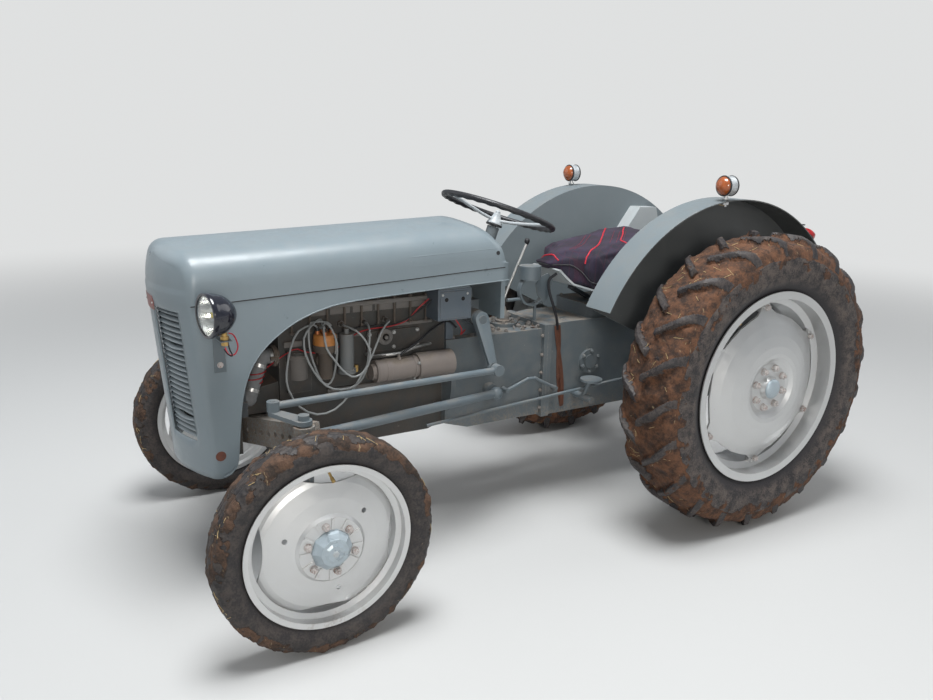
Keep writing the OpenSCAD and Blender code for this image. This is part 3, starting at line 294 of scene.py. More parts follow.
def cover_material():
    """Dark knitted cover: a fine rib with a faint quilted grid, paler where it is rubbed."""
    g, bsdf, place = new_material("seat_cover")

    def wave(at, direction, **values):
        return g.add("TexWave", at, bands_direction=direction, **values).outputs["Fac"]

    rib = wave(place, "DIAGONAL", Scale=190.0, Distortion=0.6, Detail=1.0)
    turned_place = g.add("Mapping", place, vector_type="TEXTURE", Rotation=(0, 0, 0.6)).outputs[0]
    grid = g.most(*(g.ramp(wave(turned_place, axis, Scale=11.0), 0.94, 1.0) for axis in "XY"))
    rub = g.noise(place, 14.0, 5.0)
    col = g.mix(g.ramp(rub, 0.35, 0.7), (0.01, 0.007, 0.017), (0.034, 0.023, 0.05))
    col = g.mix(g.mul(grid, 0.45), col, (0.06, 0.011, 0.028))
    col = g.mix(g.mul(rib, 0.25), col, (0.015, 0.012, 0.025))
    surface(g, bsdf, col, g.ramp(rub, 0.3, 0.7, 0.75, 0.92), g.less(g.mul(rib, 0.4), g.mul(grid, 0.8)), 0.35,
            0.0012, Sheen_Weight=0.03)


def tyre_material(name, rubber, film, light, dark, size):
    """Rubber under dry mud: one attribute says how thick the mud lies, another how thick the dust."""
    g, bsdf, place = new_material(name)
    caked = g.grouped(CAKED_MUD, Place=place, Light=light, Dark=dark, Size=size)
    mud, dust = (g.add("Attribute", attribute_name=a).outputs["Fac"] for a in ("mud", "film"))
    mid = g.noise(place, 26.0, 6.0, 0.65)
    fine = g.noise(place, 160.0, 4.0, 0.6)
    cloud = g.mul(dust, g.ramp(g.plus(g.mul(mid, 0.6), g.mul(fine, 0.4)), 0.4, 0.62))
    base = g.mix(fine, tuple(c * 0.6 for c in rubber), tuple(c * 1.5 for c in rubber))
    cover = g.ramp(g.plus(mud, g.mul(g.less(mid, 0.5), 0.9)), 0.38, 0.58)
    high = g.plus(g.mul(fine, 0.12), g.mul(cover, g.plus(caked["Height"], 0.4)))
    surface(g, bsdf, g.mix(cover, g.mix(cloud, base, film), caked["Color"]), g.plus(0.62, g.mul(cover, 0.3)),
            high, 0.9, 0.007)


def lens_material():
    """Moulded lamp glass with upright flutes."""
    g, bsdf, place = new_material("glass_lens")
    rib = g.add("TexWave", place, Scale=26.0, bands_direction="X").outputs["Fac"]
    haze = g.ramp(g.noise(place, 30.0), 0.4, 0.75, 0.01, 0.1)
    surface(g, bsdf, (0.93, 0.95, 0.95), haze, rib, 0.08, 0.001, Transmission_Weight=1.0, IOR=1.45)


fender_material()
mud_material()
cover_material()
lens_material()
tyre_material("tyre_mud", (0.017, 0.015, 0.017), (0.105, 0.084, 0.073), (0.135, 0.06, 0.03),
              (0.03, 0.017, 0.012), 24.0)
tyre_material("front_tyre_mud", (0.015, 0.013, 0.014), (0.052, 0.041, 0.036), (0.105, 0.058, 0.036),
              (0.024, 0.016, 0.012), 20.0)
worn_paint("sheet_paint", (0.185, 0.225, 0.248), gloss=0.34, wear=0.25, dusty=0.1, mottle=0.26, mud_line=0.46)
worn_paint("casting_paint", (0.098, 0.118, 0.13), gloss=0.62, wear=0.5, dusty=0.75, mottle=0.7, mud_line=0.5,
           strength=0.6)
worn_paint("block_paint", (0.048, 0.048, 0.046), dust=(0.115, 0.08, 0.058), gloss=0.75, wear=0.6, dusty=1.3,
           mottle=1.3, strength=0.9)
worn_paint("rod_paint", (0.11, 0.138, 0.156), gloss=0.45, wear=0.5, dusty=0.35, mottle=0.4, mud_line=0.55)
worn_paint("axle_paint", (0.2, 0.2, 0.19), dust=(0.2, 0.155, 0.12), gloss=0.8, wear=0.5, dusty=1.0,
           mottle=0.8, mud_line=0.75, strength=0.9)
worn_paint("pan_paint", (0.42, 0.45, 0.46), gloss=0.5, wear=0.4, dusty=0.2, mottle=0.2)
worn_paint("dark_sheet", (0.035, 0.045, 0.055), gloss=0.55, wear=0.4, dusty=0.5, mottle=0.4)
worn_paint("wheel_silver", (0.6, 0.605, 0.605), bare=(0.26, 0.19, 0.15), dust=(0.24, 0.17, 0.13), gloss=0.36,
           dusty=0.12, mottle=0.16, mud_line=0.12, metallic=0.7, strength=0.15)
worn_paint("filter_paint", (0.135, 0.145, 0.148), gloss=0.5, wear=0.5, dusty=0.7, mottle=0.4)
worn_paint("starter_case", (0.225, 0.195, 0.178), gloss=0.5, wear=0.6, dusty=0.9, mottle=0.8, metallic=0.3)
worn_paint("exhaust_rust", (0.16, 0.075, 0.045), bare=(0.26, 0.13, 0.07), gloss=0.85, wear=0.9, dusty=0.4,
           mottle=1.0, strength=0.8)
worn_paint("dusty_grey", (0.15, 0.142, 0.135), dust=(0.2, 0.165, 0.135), gloss=0.85, wear=0.3, dusty=0.9,
           mottle=1.0, mud_line=0.0, strength=0.8)
worn_paint("box_paint", (0.085, 0.108, 0.132), gloss=0.5, wear=0.4, dusty=0.4, mottle=0.4, mud_line=0.0)
worn_paint("dusty_iron", (0.085, 0.07, 0.058), dust=(0.15, 0.11, 0.08), gloss=0.8, wear=0.6, dusty=1.0,
           mottle=0.9, mud_line=0.0, strength=0.7)
worn_paint("nut_worn", (0.52, 0.5, 0.49), bare=(0.24, 0.11, 0.075), gloss=0.45, wear=1.0, mottle=0.5,
           mud_line=0.0, metallic=0.3)
worn_paint("plate_bare", (0.21, 0.045, 0.035), bare=(0.3, 0.27, 0.24), gloss=0.4, wear=0.8, mottle=0.5,
           mud_line=0.0)
worn_paint("hub_grey", (0.4, 0.43, 0.45), bare=(0.45, 0.44, 0.42), gloss=0.36, wear=0.6, mud_line=0.0)
simple("wheel_black", (0.012, 0.012, 0.014), 0.32, vary=0.3, grain=30.0, strength=0.05)
simple("lamp_dark", (0.008, 0.009, 0.017), 0.18, vary=0.3, coat=0.5)
simple("lamp_silver", (0.62, 0.62, 0.62), 0.25, 0.9, vary=0.15)
simple("bright_steel", (0.45, 0.45, 0.44), 0.38, 0.8, vary=0.3, grain=120.0)
simple("rubber_hose", (0.185, 0.19, 0.195), 0.8, vary=0.35, grain=50.0, strength=0.3)
simple("tail_red", (0.33, 0.012, 0.01), 0.2, grain=90.0)
simple("strap_brown", (0.16, 0.055, 0.028), 0.75, vary=0.5, grain=70.0, strength=0.5)
simple("brass", (0.48, 0.32, 0.12), 0.38, 0.85, vary=0.25)
simple("wire_red", (0.35, 0.015, 0.02), 0.45, vary=0.15)
simple("wire_grey", (0.235, 0.245, 0.245), 0.45, vary=0.15)
simple("wire_black", (0.012, 0.012, 0.014))
simple("wire_tan", (0.26, 0.2, 0.12), 0.6, vary=0.3, grain=40.0)
# Dark for the bonnet's seams, and painted shade for holes drawn as flat discs
simple("dark_seam_and_hole_shade", (0.012, 0.01, 0.01), 0.9)
simple("rust_dark", (0.12, 0.045, 0.03), 0.85, vary=0.5, grain=80.0, strength=0.6)
simple("rim_black", (0.014, 0.014, 0.017), 0.42, vary=0.4, grain=90.0, strength=0.25)
simple("piping_red", (0.46, 0.012, 0.03), 0.55, vary=0.25, grain=400.0, strength=0.3)
simple("line_red", (0.16, 0.01, 0.026), 0.7, vary=0.25, grain=400.0, strength=0.2)
simple("reflector", (0.86, 0.86, 0.84), 0.24, 1.0, vary=0.06, grain=20.0, strength=0.02)
simple("bulb_glass", (0.85, 0.6, 0.06), 0.15, vary=0.15, grain=20.0, strength=0.02, coat=0.5)
simple("amber_lens", (0.3, 0.075, 0.018), 0.22, vary=0.45, grain=55.0, strength=0.15, coat=0.6)
simple("red_lens", (0.3, 0.01, 0.012), 0.2, vary=0.3, grain=55.0, coat=0.6)
simple("rubber_black", (0.02, 0.02, 0.022), 0.55, vary=0.35, grain=70.0, strength=0.2)
simple("drum_silver", (0.56, 0.59, 0.61), 0.34, 0.55, grain=35.0)
simple("cap_grey", (0.34, 0.4, 0.44), 0.33, 0.2, vary=0.25, grain=30.0, coat=0.3)
simple("cap_amber", (0.42, 0.17, 0.045), 0.38, vary=0.4, grain=40.0, strength=0.15)
simple("straw", (0.42, 0.31, 0.15), 0.7, vary=0.4, grain=50.0)
simple("copper", (0.42, 0.15, 0.06), 0.4, 0.6, vary=0.3)
simple("leather_brown", (0.092, 0.034, 0.019), 0.62, vary=0.55, strength=0.5)


# Meshes
def mesh_of(name, verts, faces):
    me = bpy.data.meshes.new(name)
    me.from_pydata([tuple(v) for v in verts], [], [tuple(f) for f in faces])
    return me


def edited(me, work):
    """Run some mesh operators on a mesh."""
    bm = bmesh.new()
    bm.from_mesh(me)
    work(bm)
    bm.to_mesh(me)
    bm.free()


def weld(bm):
    bmesh.ops.remove_doubles(bm, verts=bm.verts, dist=1e-5)


def outwards(bm):
    weld(bm)
    bmesh.ops.recalc_face_normals(bm, faces=bm.faces)


def baked(ob):
    """The plain mesh of an object with its modifiers."""
    dg = bpy.context.evaluated_depsgraph_get()
    return bpy.data.meshes.new_from_object(ob.evaluated_get(dg), depsgraph=dg)


def smooth_all(me):
    me.polygons.foreach_set("use_smooth", [True] * len(me.polygons))


def finish_mesh(me, material, body, smooth=True, stands_for=(), closed=True):
    """A piece that rides on a body. A closed one is welded and its normals are set outwards."""
    if closed:
        edited(me, outwards)
    if smooth:
        smooth_all(me)
        me.set_sharp_from_angle(angle=SHARP)
    ob = object_of(me.name, me)
    if not me.materials:
        me.materials.append(MATERIALS[material])
    if body:
        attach(ob, body)
        if stands_for:
            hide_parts(*stands_for)
    return ob


def merged(parts):
    """Several (verts, faces) joined into one."""
    verts, faces = [], []
    for v, f in parts:
        n = len(verts)
        verts += [tuple(p) for p in v]
        faces += [tuple(i + n for i in q) for q in f]
    return verts, faces


def joined(name, parts, material, body="chassis", stands_for=(), smooth=False):
    """Several closed shapes as one piece."""
    return finish_mesh(mesh_of(name, *merged(parts)), material, body, smooth, stands_for)


def grid_faces(rows, cols, close_cols=False, close_rows=False, skip=None):
    """Quads of a grid of rows by cols points."""
    out = []
    for r in range(rows if close_rows else rows - 1):
        for c in range(cols if close_cols else cols - 1):
            if skip and skip(r, c):
                continue
            r2, c2 = (r + 1) % rows, (c + 1) % cols
            out.append((r * cols + c, r * cols + c2, r2 * cols + c2, r2 * cols + c))
    return out


def turned(profile, centre=(0, 0, 0), steps=64, axis="X"):
    """A profile of (along, radius) turned about an axis through centre: (verts, faces)."""
    verts = []
    for k in range(steps):
        a = 2 * math.pi * k / steps
        for t, r in profile:
            u, w = r * math.cos(a), r * math.sin(a)
            p = {"X": (t, u, w), "Y": (w, t, u), "Z": (u, w, t)}[axis]
            verts.append(Vector(centre) + Vector(p))
    return verts, grid_faces(steps, len(profile), close_rows=True)


def lathe(name, profile, place, axis, material, body="chassis", steps=48, stands_for=(), smooth=True):
    """A closed turned piece at a place, or where a matrix puts it."""
    m = place if isinstance(place, Matrix) else Matrix.Translation(Vector(place))
    return joined(name, [moved(turned(profile, steps=steps, axis=axis), m)], material, body, stands_for,
                  smooth)


def moved(part, m):
    return [m @ Vector(p) for p in part[0]], part[1]


def rounded_box(size, radius, centre=(0, 0, 0)):
    """A box with rounded edges: (verts, faces)."""
    bm = bmesh.new()
    bmesh.ops.create_cube(bm, size=1.0)
    for v in bm.verts:
        v.co = Vector([c * s for c, s in zip(v.co, size)])
    bmesh.ops.bevel(bm, geom=bm.edges[:], offset=radius, segments=2, affect="EDGES", profile=0.5)
    bm.verts.index_update()
    out = [v.co + Vector(centre) for v in bm.verts], [[v.index for v in f.verts] for f in bm.faces]
    bm.free()
    return out


def turn_to(direction):
    """A matrix that turns the X axis to a direction."""
    return Vector(direction).to_track_quat("X", "Z").to_matrix().to_4x4()


def cylinder(radius, a, b, sides=24):
    """A closed round bar between two places: (verts, faces)."""
    a, b = Vector(a), Vector(b)
    n = (b - a).length
    return moved(turned([(0, 0), (0, radius), (n, radius), (n, 0)], steps=sides),
                 Matrix.Translation(a) @ turn_to(b - a))


def spline(points, per=8):
    """Points on a smooth curve through the given points."""
    pts = [Vector(p) for p in points]
    pts = [pts[0] * 2 - pts[1]] + pts + [pts[-1] * 2 - pts[-2]]
    out = []
    for k in range(1, len(pts) - 2):
        a, b, c, d = pts[k - 1:k + 3]
        for j in range(per):
            t = j / per
            square, cube = 2 * a - 5 * b + 4 * c - d, 3 * b - a - 3 * c + d
            out.append(0.5 * (2 * b + (c - a) * t + square * t * t + cube * t ** 3))
    return out + [pts[-2]]


# Geometry Nodes trees
def new_tree(name, sizes):
    t = bpy.data.node_groups.new(name, "GeometryNodeTree")
    ids = {}
    for label, kind, default in [("Geometry", "Geometry", None)] + sizes + [("Material", "Material", None)]:
        s = t.interface.new_socket(label, in_out="INPUT", socket_type="NodeSocket" + kind)
        if default is not None:
            s.default_value = default
        ids[label] = s.identifier
    t.interface.new_socket("Geometry", in_out="OUTPUT", socket_type="NodeSocketGeometry")
    return t, ids, t.nodes.new("NodeGroupInput").outputs


def node(t, kind, links, **values):
    """A node with its properties and inputs set or linked: its first output."""
    n = t.nodes.new(kind)
    for k, v in values.items():
        setattr(n, k, v)
    for socket, source in links:
        if hasattr(source, "is_output"):
            t.links.new(source, n.inputs[socket])
        else:
            n.inputs[socket].default_value = source
    return n.outputs[0]


def end_tree(t, geometry, material):
    soft = node(t, "GeometryNodeSetShadeSmooth", [("Geometry", geometry)])
    real = node(t, "GeometryNodeRealizeInstances", [("Geometry", soft)])
    last = node(t, "GeometryNodeSetMaterial", [("Geometry", real), ("Material", material)])
    t.links.new(last, t.nodes.new("NodeGroupOutput").inputs[0])


def wire_tree():
    """A round wire, pipe or bead along every curve of the piece."""
    t, ids, i = new_tree("wire_on_curve", [("Radius", "Float", 0.003), ("Sides", "Int", 8)])
    ring = node(t, "GeometryNodeCurvePrimitiveCircle", [("Resolution", i["Sides"]), ("Radius", i["Radius"])])
    mesh = node(t, "GeometryNodeCurveToMesh", [("Curve", i["Geometry"]), ("Profile Curve", ring),
            ("Fill Caps", True)])
    end_tree(t, mesh, i["Material"])
    return t, ids


def clod_tree():
    """Clods of mud scattered over a surface by a seed."""
    t, ids, i = new_tree("scattered_clods", [("Density", "Float", 200.0), ("Least", "Float", 0.3),
            ("Most", "Float", 1.0), ("Size", "Float", 0.02), ("Seed", "Int", 1)])
    spread = node(t, "GeometryNodeDistributePointsOnFaces", [("Mesh", i["Geometry"]),
            ("Density", i["Density"]), ("Seed", i["Seed"])])
    ball = node(t, "GeometryNodeMeshIcoSphere", [("Radius", i["Size"]), ("Subdivisions", 2)])
    turn = node(t, "FunctionNodeRandomValue", [(1, (6.28, 6.28, 6.28))], data_type="FLOAT_VECTOR")
    least, most = (node(t, "ShaderNodeCombineXYZ", [(axis, i[label]) for axis in "XYZ"])
                   for label in ("Least", "Most"))
    size = node(t, "FunctionNodeRandomValue", [(0, least), (1, most), ("Seed", i["Seed"])],
                data_type="FLOAT_VECTOR")
    inst = node(t, "GeometryNodeInstanceOnPoints", [("Points", spread), ("Instance", ball),
            ("Rotation", turn), ("Scale", size)])
    real = node(t, "GeometryNodeRealizeInstances", [("Geometry", inst)])
    lump = t.nodes.new("ShaderNodeTexNoise")
    lump.inputs["Scale"].default_value = 90.0
    off = node(t, "ShaderNodeVectorMath", [(0, lump.outputs["Color"]), (1, (0.5, 0.5, 0.5))],
               operation="SUBTRACT")
    sized = node(t, "ShaderNodeVectorMath", [(0, off), ("Scale", i["Size"])], operation="SCALE")
    push = node(t, "GeometryNodeSetPosition", [("Geometry", real), ("Offset", sized)])
    end_tree(t, push, i["Material"])
    return t, ids


WIRE, CLODS = wire_tree(), clod_tree()


def grown(name, source, tree, body, **values):
    """The plain mesh that a tree makes from a source object, which is removed."""
    mod = source.modifiers.new("grow", "NODES")
    mod.node_group, ids = tree
    for label, value in values.items():
        mod[ids[label]] = MATERIALS[value] if label == "Material" else value
    me = baked(source)
    source.modifiers.remove(mod)
    bpy.data.objects.remove(source)
    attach(object_of(name, me), body)


def wires(name, paths, radius, material, body="chassis", sides=8, per=8, straight=False):
    """Round wires, pipes or beads along smooth paths."""
    cu = bpy.data.curves.new("source", "CURVE")
    cu.dimensions = "3D"
    for path in paths:
        pts = path if straight else spline(path, per)
        s = cu.splines.new("POLY")
        s.points.add(len(pts) - 1)
        for q, p in zip(s.points, pts):
            q.co = (p.x, p.y, p.z, 1.0)
    grown(name, object_of("source", cu), WIRE, body, Radius=radius, Sides=sides, Material=material)


def bolt(radius, height):
    """A washer, a hexagon head and a short shank end, pointing along X from the origin."""
    verts, faces = [], []
    shank = radius * 0.45
    washer = [(0.0, radius * 1.15), (height * 0.12, radius * 1.15)]
    head = [(height * 0.12, radius), (height * 0.9, radius), (height, radius * 0.86)]
    end = [(height, shank), (height * 1.35, shank), (height * 1.42, shank * 0.7)]
    for prof, sides in ((washer, 12), (head, 6), (end, 8)):
        n = len(verts)
        for t, r in prof:
            for k in range(sides):
                a = 2 * math.pi * k / sides
                verts.append(Vector((t, r * math.cos(a), r * math.sin(a))))
        for q in grid_faces(len(prof), sides, close_cols=True):
            faces.append(tuple(reversed([i + n for i in q])))
        faces.append(tuple(n + (len(prof) - 1) * sides + k for k in range(sides)))
    return verts, faces


def bolts(name, places, direction, radius, height, material="bright_steel", body="chassis"):
    """Hexagon bolts at places, which all point one way or are each given with their direction."""
    parts = []
    for k, p in enumerate(places):
        p, d = (p, direction) if direction else p
        parts.append(moved(bolt(radius, height), Matrix.Translation(p) @ turn_to(d) @ Matrix.Rotation(0.7 * k,
                4, "X")))
    me = mesh_of(name, *merged(parts))
    me.validate()
    finish_mesh(me, material, body, False, closed=False)


# Bonnet: one pressed skin with a bowed nose, a raised band and an open arch on each side
NOSE_Y = -WHEELBASE - 0.3385
BOW_R = 0.45
HALF_WIDE = 0.25
SIDE_LOW, SIDE_TOP, SIDE_BEND = 0.431, 1.06, 0.03
HALF_SECTION = [(0.25, 1.06), (0.25, 1.085), (0.2475, 1.112), (0.239, 1.139), (0.2225, 1.162), (0.2, 1.178),
                (0.172, 1.1875), (0.135, 1.194), (0.09, 1.2005), (0.045, 1.2055), (0.0, 1.207)]
REAR_EDGE = [1.06, 1.11, 1.16, 1.19, 1.207], [-0.922, -0.94, -0.978, -1.008, -1.03]
ARCH = [(-2.1, 0.432), (-1.99, 0.431), (-1.972, 0.434), (-1.948, 0.443), (-1.93, 0.462), (-1.922, 0.5),
        (-1.917, 0.551), (-1.909, 0.62), (-1.9, 0.684), (-1.886, 0.738), (-1.867, 0.782), (-1.84, 0.823),
        (-1.806, 0.858), (-1.76, 0.893), (-1.705, 0.924), (-1.64, 0.948), (-1.568, 0.964), (-1.47, 0.973),
        (-1.35, 0.979), (-1.155, 0.988), (-0.905, 0.9975)]
GRILLE_Z = (0.555, 0.97)
GRILLE_X = (0.048, 0.195)


def lookup(x, pairs):
    return float(np.interp(x, *zip(*pairs)))


def nose_face(x, z):
    """Y of the nose's front face at a place across and up it."""
    lean = max(0.0, 1.017 - z) * math.tan(math.radians(4.5))
    curl = max(0.0, z - 1.04) ** 2 / 0.072 ** 2 * 0.009
    return NOSE_Y + BOW_R - math.sqrt(BOW_R ** 2 - x * x) + lean + curl


def slope(y):
    """The bonnet's top rises a little to the rear."""
    return (y + 1.063) * math.sin(math.radians(2.2))


def half_rows():
    """The lengthwise lines of one half: kind, height share or section point, normal and bend radius."""
    crown = spline([(x, 0, z) for x, z in HALF_SECTION], 3)
    shares = [0.0, 0.03, 0.08, 0.14, 0.1955, 0.26, 0.33, 0.4, 0.47, 0.54, 0.61, 0.68, 0.75, 0.8, 0.8535,
              0.872, 0.88, 0.886, 0.904, 0.93, 0.942, 0.948, 0.972]
    half = [("side", f, Vector((1, 0)), SIDE_BEND) for f in shares]
    last = len(crown) - 1
    for k, c in enumerate(crown):
        a, b = crown[max(0, k - 1)], crown[min(last, k + 1)]
        t = Vector((b.x - a.x, b.z - a.z)).normalized()
        n = Vector((t.y, -t.x))
        if n.dot(Vector((c.x, c.z - 0.9))) < 0:
            n = -n
        if k == last:
            n = Vector((0, 1))
        half.append(("crown", (c.x, c.z), n, SIDE_BEND + 0.024 * min(1.0, k / last * 2)))
    return half


def bonnet_skin():
    along = [0.0, 0.012, 0.03, 0.045, 0.052, 0.058, 0.064, 0.07, 0.076, 0.083, 0.092, 0.104, 0.12, 0.14,
             0.165, 0.2, 0.245, 0.3, 0.36, 0.42, 0.48, 0.54, 0.6, 0.66, 0.72, 0.78, 0.84, 0.89, 0.94, 0.975,
             1.0]
    bend = [0.2, 0.4, 0.6, 0.8, 1.0]
    across = [0.93, 0.88, GRILLE_X[1] / 0.2357, 0.7, 0.56, 0.42, 0.3, GRILLE_X[0] / 0.2357, 0.12, 0.05, 0.0]
    rows = []
    for kind, f, n, rb in half_rows():
        side = kind == "side"
        x0 = HALF_WIDE if side else f[0]
        rear = -0.911 if side else float(np.interp(f[1], *REAR_EDGE))
        # The place where the side or the crown starts to turn into the face
        zr = 0.43 + f * (SIDE_TOP - 0.0205 - 0.43) if side else f[1] + slope(-2.06)
        tx, tz, beta = x0 - n.x * rb, zr - n.y * rb, 0.3
        for _ in range(4):
            e = 0.002
            px, pz = max(0.0, tx), tz
            m = (nose_face(px + e * n.x, pz + e * n.y) - nose_face(px - e * n.x, pz - e * n.y)) / (2 * e)
            beta = math.atan(m)
            tx = x0 - n.x * rb + rb * math.sin(beta) * n.x
            tz = zr - n.y * rb + rb * math.sin(beta) * n.y
        cy = nose_face(tx, tz) + rb * math.cos(beta)
        row = []
        for t in reversed(along):
            y = cy + (rear - cy) * t
            if side:
                low = lookup(y, ARCH) if y > -2.0 else SIDE_LOW
                z = low + (SIDE_TOP + slope(y) - low) * f
                ease = min(1.0, t / 0.05)
                z = z * ease + zr * (1 - ease)
            else:
                z = f[1] + slope(y)
            row.append(Vector((x0, y, z)))
        zb = row[-1].z
        for b in bend:
            a = (math.pi / 2 - beta) * b
            u = rb * (1 - math.cos(a))
            row.append(Vector((x0 - n.x * u, cy - rb * math.sin(a), zb - n.y * u)))
        ex, _, ez = row[-1]
        row += [Vector((ex * q, nose_face(ex * q, ez), ez)) for q in across]
        rows.append(row)
    first_front = len(along) + len(bend)

    def in_grille(r, c):
        a, b = rows[r][c], rows[r + 1][c + 1]
        z, x = (a.z + b.z) / 2, (a.x + b.x) / 2
        return c >= first_front - 1 and GRILLE_Z[0] < z < GRILLE_Z[1] and GRILLE_X[0] < x < GRILLE_X[1]

    quads = grid_faces(len(rows), len(rows[0]), skip=in_grille)
    verts = [v for row in rows for v in row]
    # The band below the face stands a little proud
    for v in verts:
        if v.y < NOSE_Y + 0.09 and 0.984 < v.z < 1.034 and abs(v.x) < 0.236:
            v.y -= 0.0022
    n = len(verts)
    verts += [Vector((-v.x, v.y, v.z)) for v in verts]
    faces = [tuple(reversed(q)) for q in quads] + [tuple(i + n for i in q) for q in quads]
    ob = finish_mesh(mesh_of("bonnet_skin", [P(*v) for v in verts], faces), "sheet_paint", None)

    def face_out(bm):
        inside = P(0, -1.5, 0.9)
        if sum(1 if f.normal.dot(f.calc_center_median() - inside) > 0 else -1 for f in bm.faces) < 0:
            bmesh.ops.reverse_faces(bm, faces=bm.faces)

    edited(ob.data, face_out)
    solid = ob.modifiers.new("sheet", "SOLIDIFY")
    solid.thickness = 0.003
    solid.offset = -1.0
    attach(ob, "bonnet_shell")
    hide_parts("bonnet")


def bonnet_details():
    """Seams below the top panel, the hinge pin's dark holes, pressed ribs and the arches' beads."""
    seam = [(0.2502, y, z) for y, z in ((-2.04, 0.9955), (-1.893, 1.002), (-1.635, 1.013), (-1.35, 1.026),
                                        (-1.1, 1.0385), (-0.925, 1.046))]
    hole = [(0.0, 0.0), (0.0, 0.0155), (0.0008, 0.0165), (0.0016, 0.0155), (0.0016, 0.0)]
    ribs, beads = [], []
    for s, label in SIDES:
        wires("bonnet_seam_" + label, [path_of(seam, s)], 0.0016, "dark_seam_and_hole_shade", "bonnet_shell", 6)
        lathe("hinge_hole_" + label, hole, Matrix.Translation(P(s * 0.2498, -1.978, 0.507)) @ facing(s), "X",
              "rust_dark", "bonnet_shell", 28)
        for x, z, y0 in ((0.243, 1.112, -1.42), (0.2455, 1.08, -1.46)):
            ribs.append([P(s * (x - 0.004 * max(0.0, (-1.3 - y) / 0.16)), y, z + slope(y))
                         for y in (y0, -1.38, -1.3, -1.2, -1.08, -0.965)])
        beads.append([P(s * 0.2492, y, z + 0.001) for y, z in ARCH[2:]])
    wires("bonnet_ribs", ribs, 0.005, "sheet_paint", "bonnet_shell")
    wires("bonnet_edge_bead", beads, 0.0024, "sheet_paint", "bonnet_shell", 6, 3)


def grille_slats():
    """Two rows of pressed slats between upright rails, set back in the nose's openings."""
    rng = random.Random(4)
    slats, steps = 23, 12
    section = ((0.0085, -0.005), (0.0105, -0.002), (0.0165, 0.004), (0.0195, 0.0046), (0.0185, 0.0032),
               (0.0125, -0.003))
    bent_ones = {3: -0.006, 4: 0.005, 16: -0.005}
    parts = []
    for side in (1, -1):
        for k in range(slats):
            z0 = GRILLE_Z[0] + 0.01 + (GRILLE_Z[1] - GRILLE_Z[0] - 0.02) * k / (slats - 1)
            sag = rng.uniform(-0.0006, 0.0006)
            bent = bent_ones.get(k, 0.0) if side > 0 else 0.0
            verts = []
            for j in range(steps + 1):
                t = j / steps
                x = GRILLE_X[0] - 0.004 + (GRILLE_X[1] - GRILLE_X[0] + 0.008) * t
                dz = sag + bent * math.sin(math.pi * t) ** 2
                verts += [P(side * x, nose_face(x, z0) + dy, z0 + up + dz) for dy, up in section]
            parts.append((verts, grid_faces(steps + 1, 6, close_cols=True) + [range(6),
                    range(steps * 6 + 5, steps * 6 - 1, -1)]))
    joined("grille_slats", parts, "sheet_paint", "bonnet_shell", ("grille",), True)


# Tyres: turned casings whose lugs and caked mud are raised by rule
LUG_N, LUG_W = 21, 0.034
TREAD_R, SIDEWALL_X, SKIN = 0.575, 0.1374, 0.0006


def unit(v):
    return min(1.0, max(0.0, v))


def noise_at(v, scale, octaves, shift):
    return noise.fractal(Vector((v[0] * scale + shift, v[1] * scale, v[2] * scale)), 0.9, 2.1, octaves)


def whole_profile(half, per):
    """A half profile, smoothed and mirrored."""
    prof = [(p.x, p.y) for p in spline([(x, r, 0) for x, r in half], per)]
    return prof + [(-x, r) for x, r in reversed(prof[:-1])]


def casing(name, side, centre, prof, steps, rule, material):
    """A tyre whose rule gives each point's place across and out, and how thick mud and dust lie on it."""
    verts, mud, film = [], [], []
    for k in range(steps):
        phi = 2 * math.pi * k / steps
        for j, (t, r) in enumerate(prof):
            dy, dz = math.sin(phi), -math.cos(phi)
            across, out, m, f = rule(phi, j, t, r, dy, dz)
            verts.append(centre + Vector((side * across, dy * out, dz * out)))
            mud.append(unit(m))
            film.append(unit(f))
    faces = grid_faces(steps, len(prof), close_rows=True)
    if side > 0:
        faces = [tuple(reversed(f)) for f in faces]
    me = mesh_of(name.replace("_tyre_", "_tyre_casing_"), verts, faces)
    for label, values in (("mud", mud), ("film", film)):
        me.attributes.new(label, "FLOAT", "POINT").data.foreach_set("value", values)
    return finish_mesh(me, material, name.replace("tyre", "wheel"), True, (name,), closed=False)


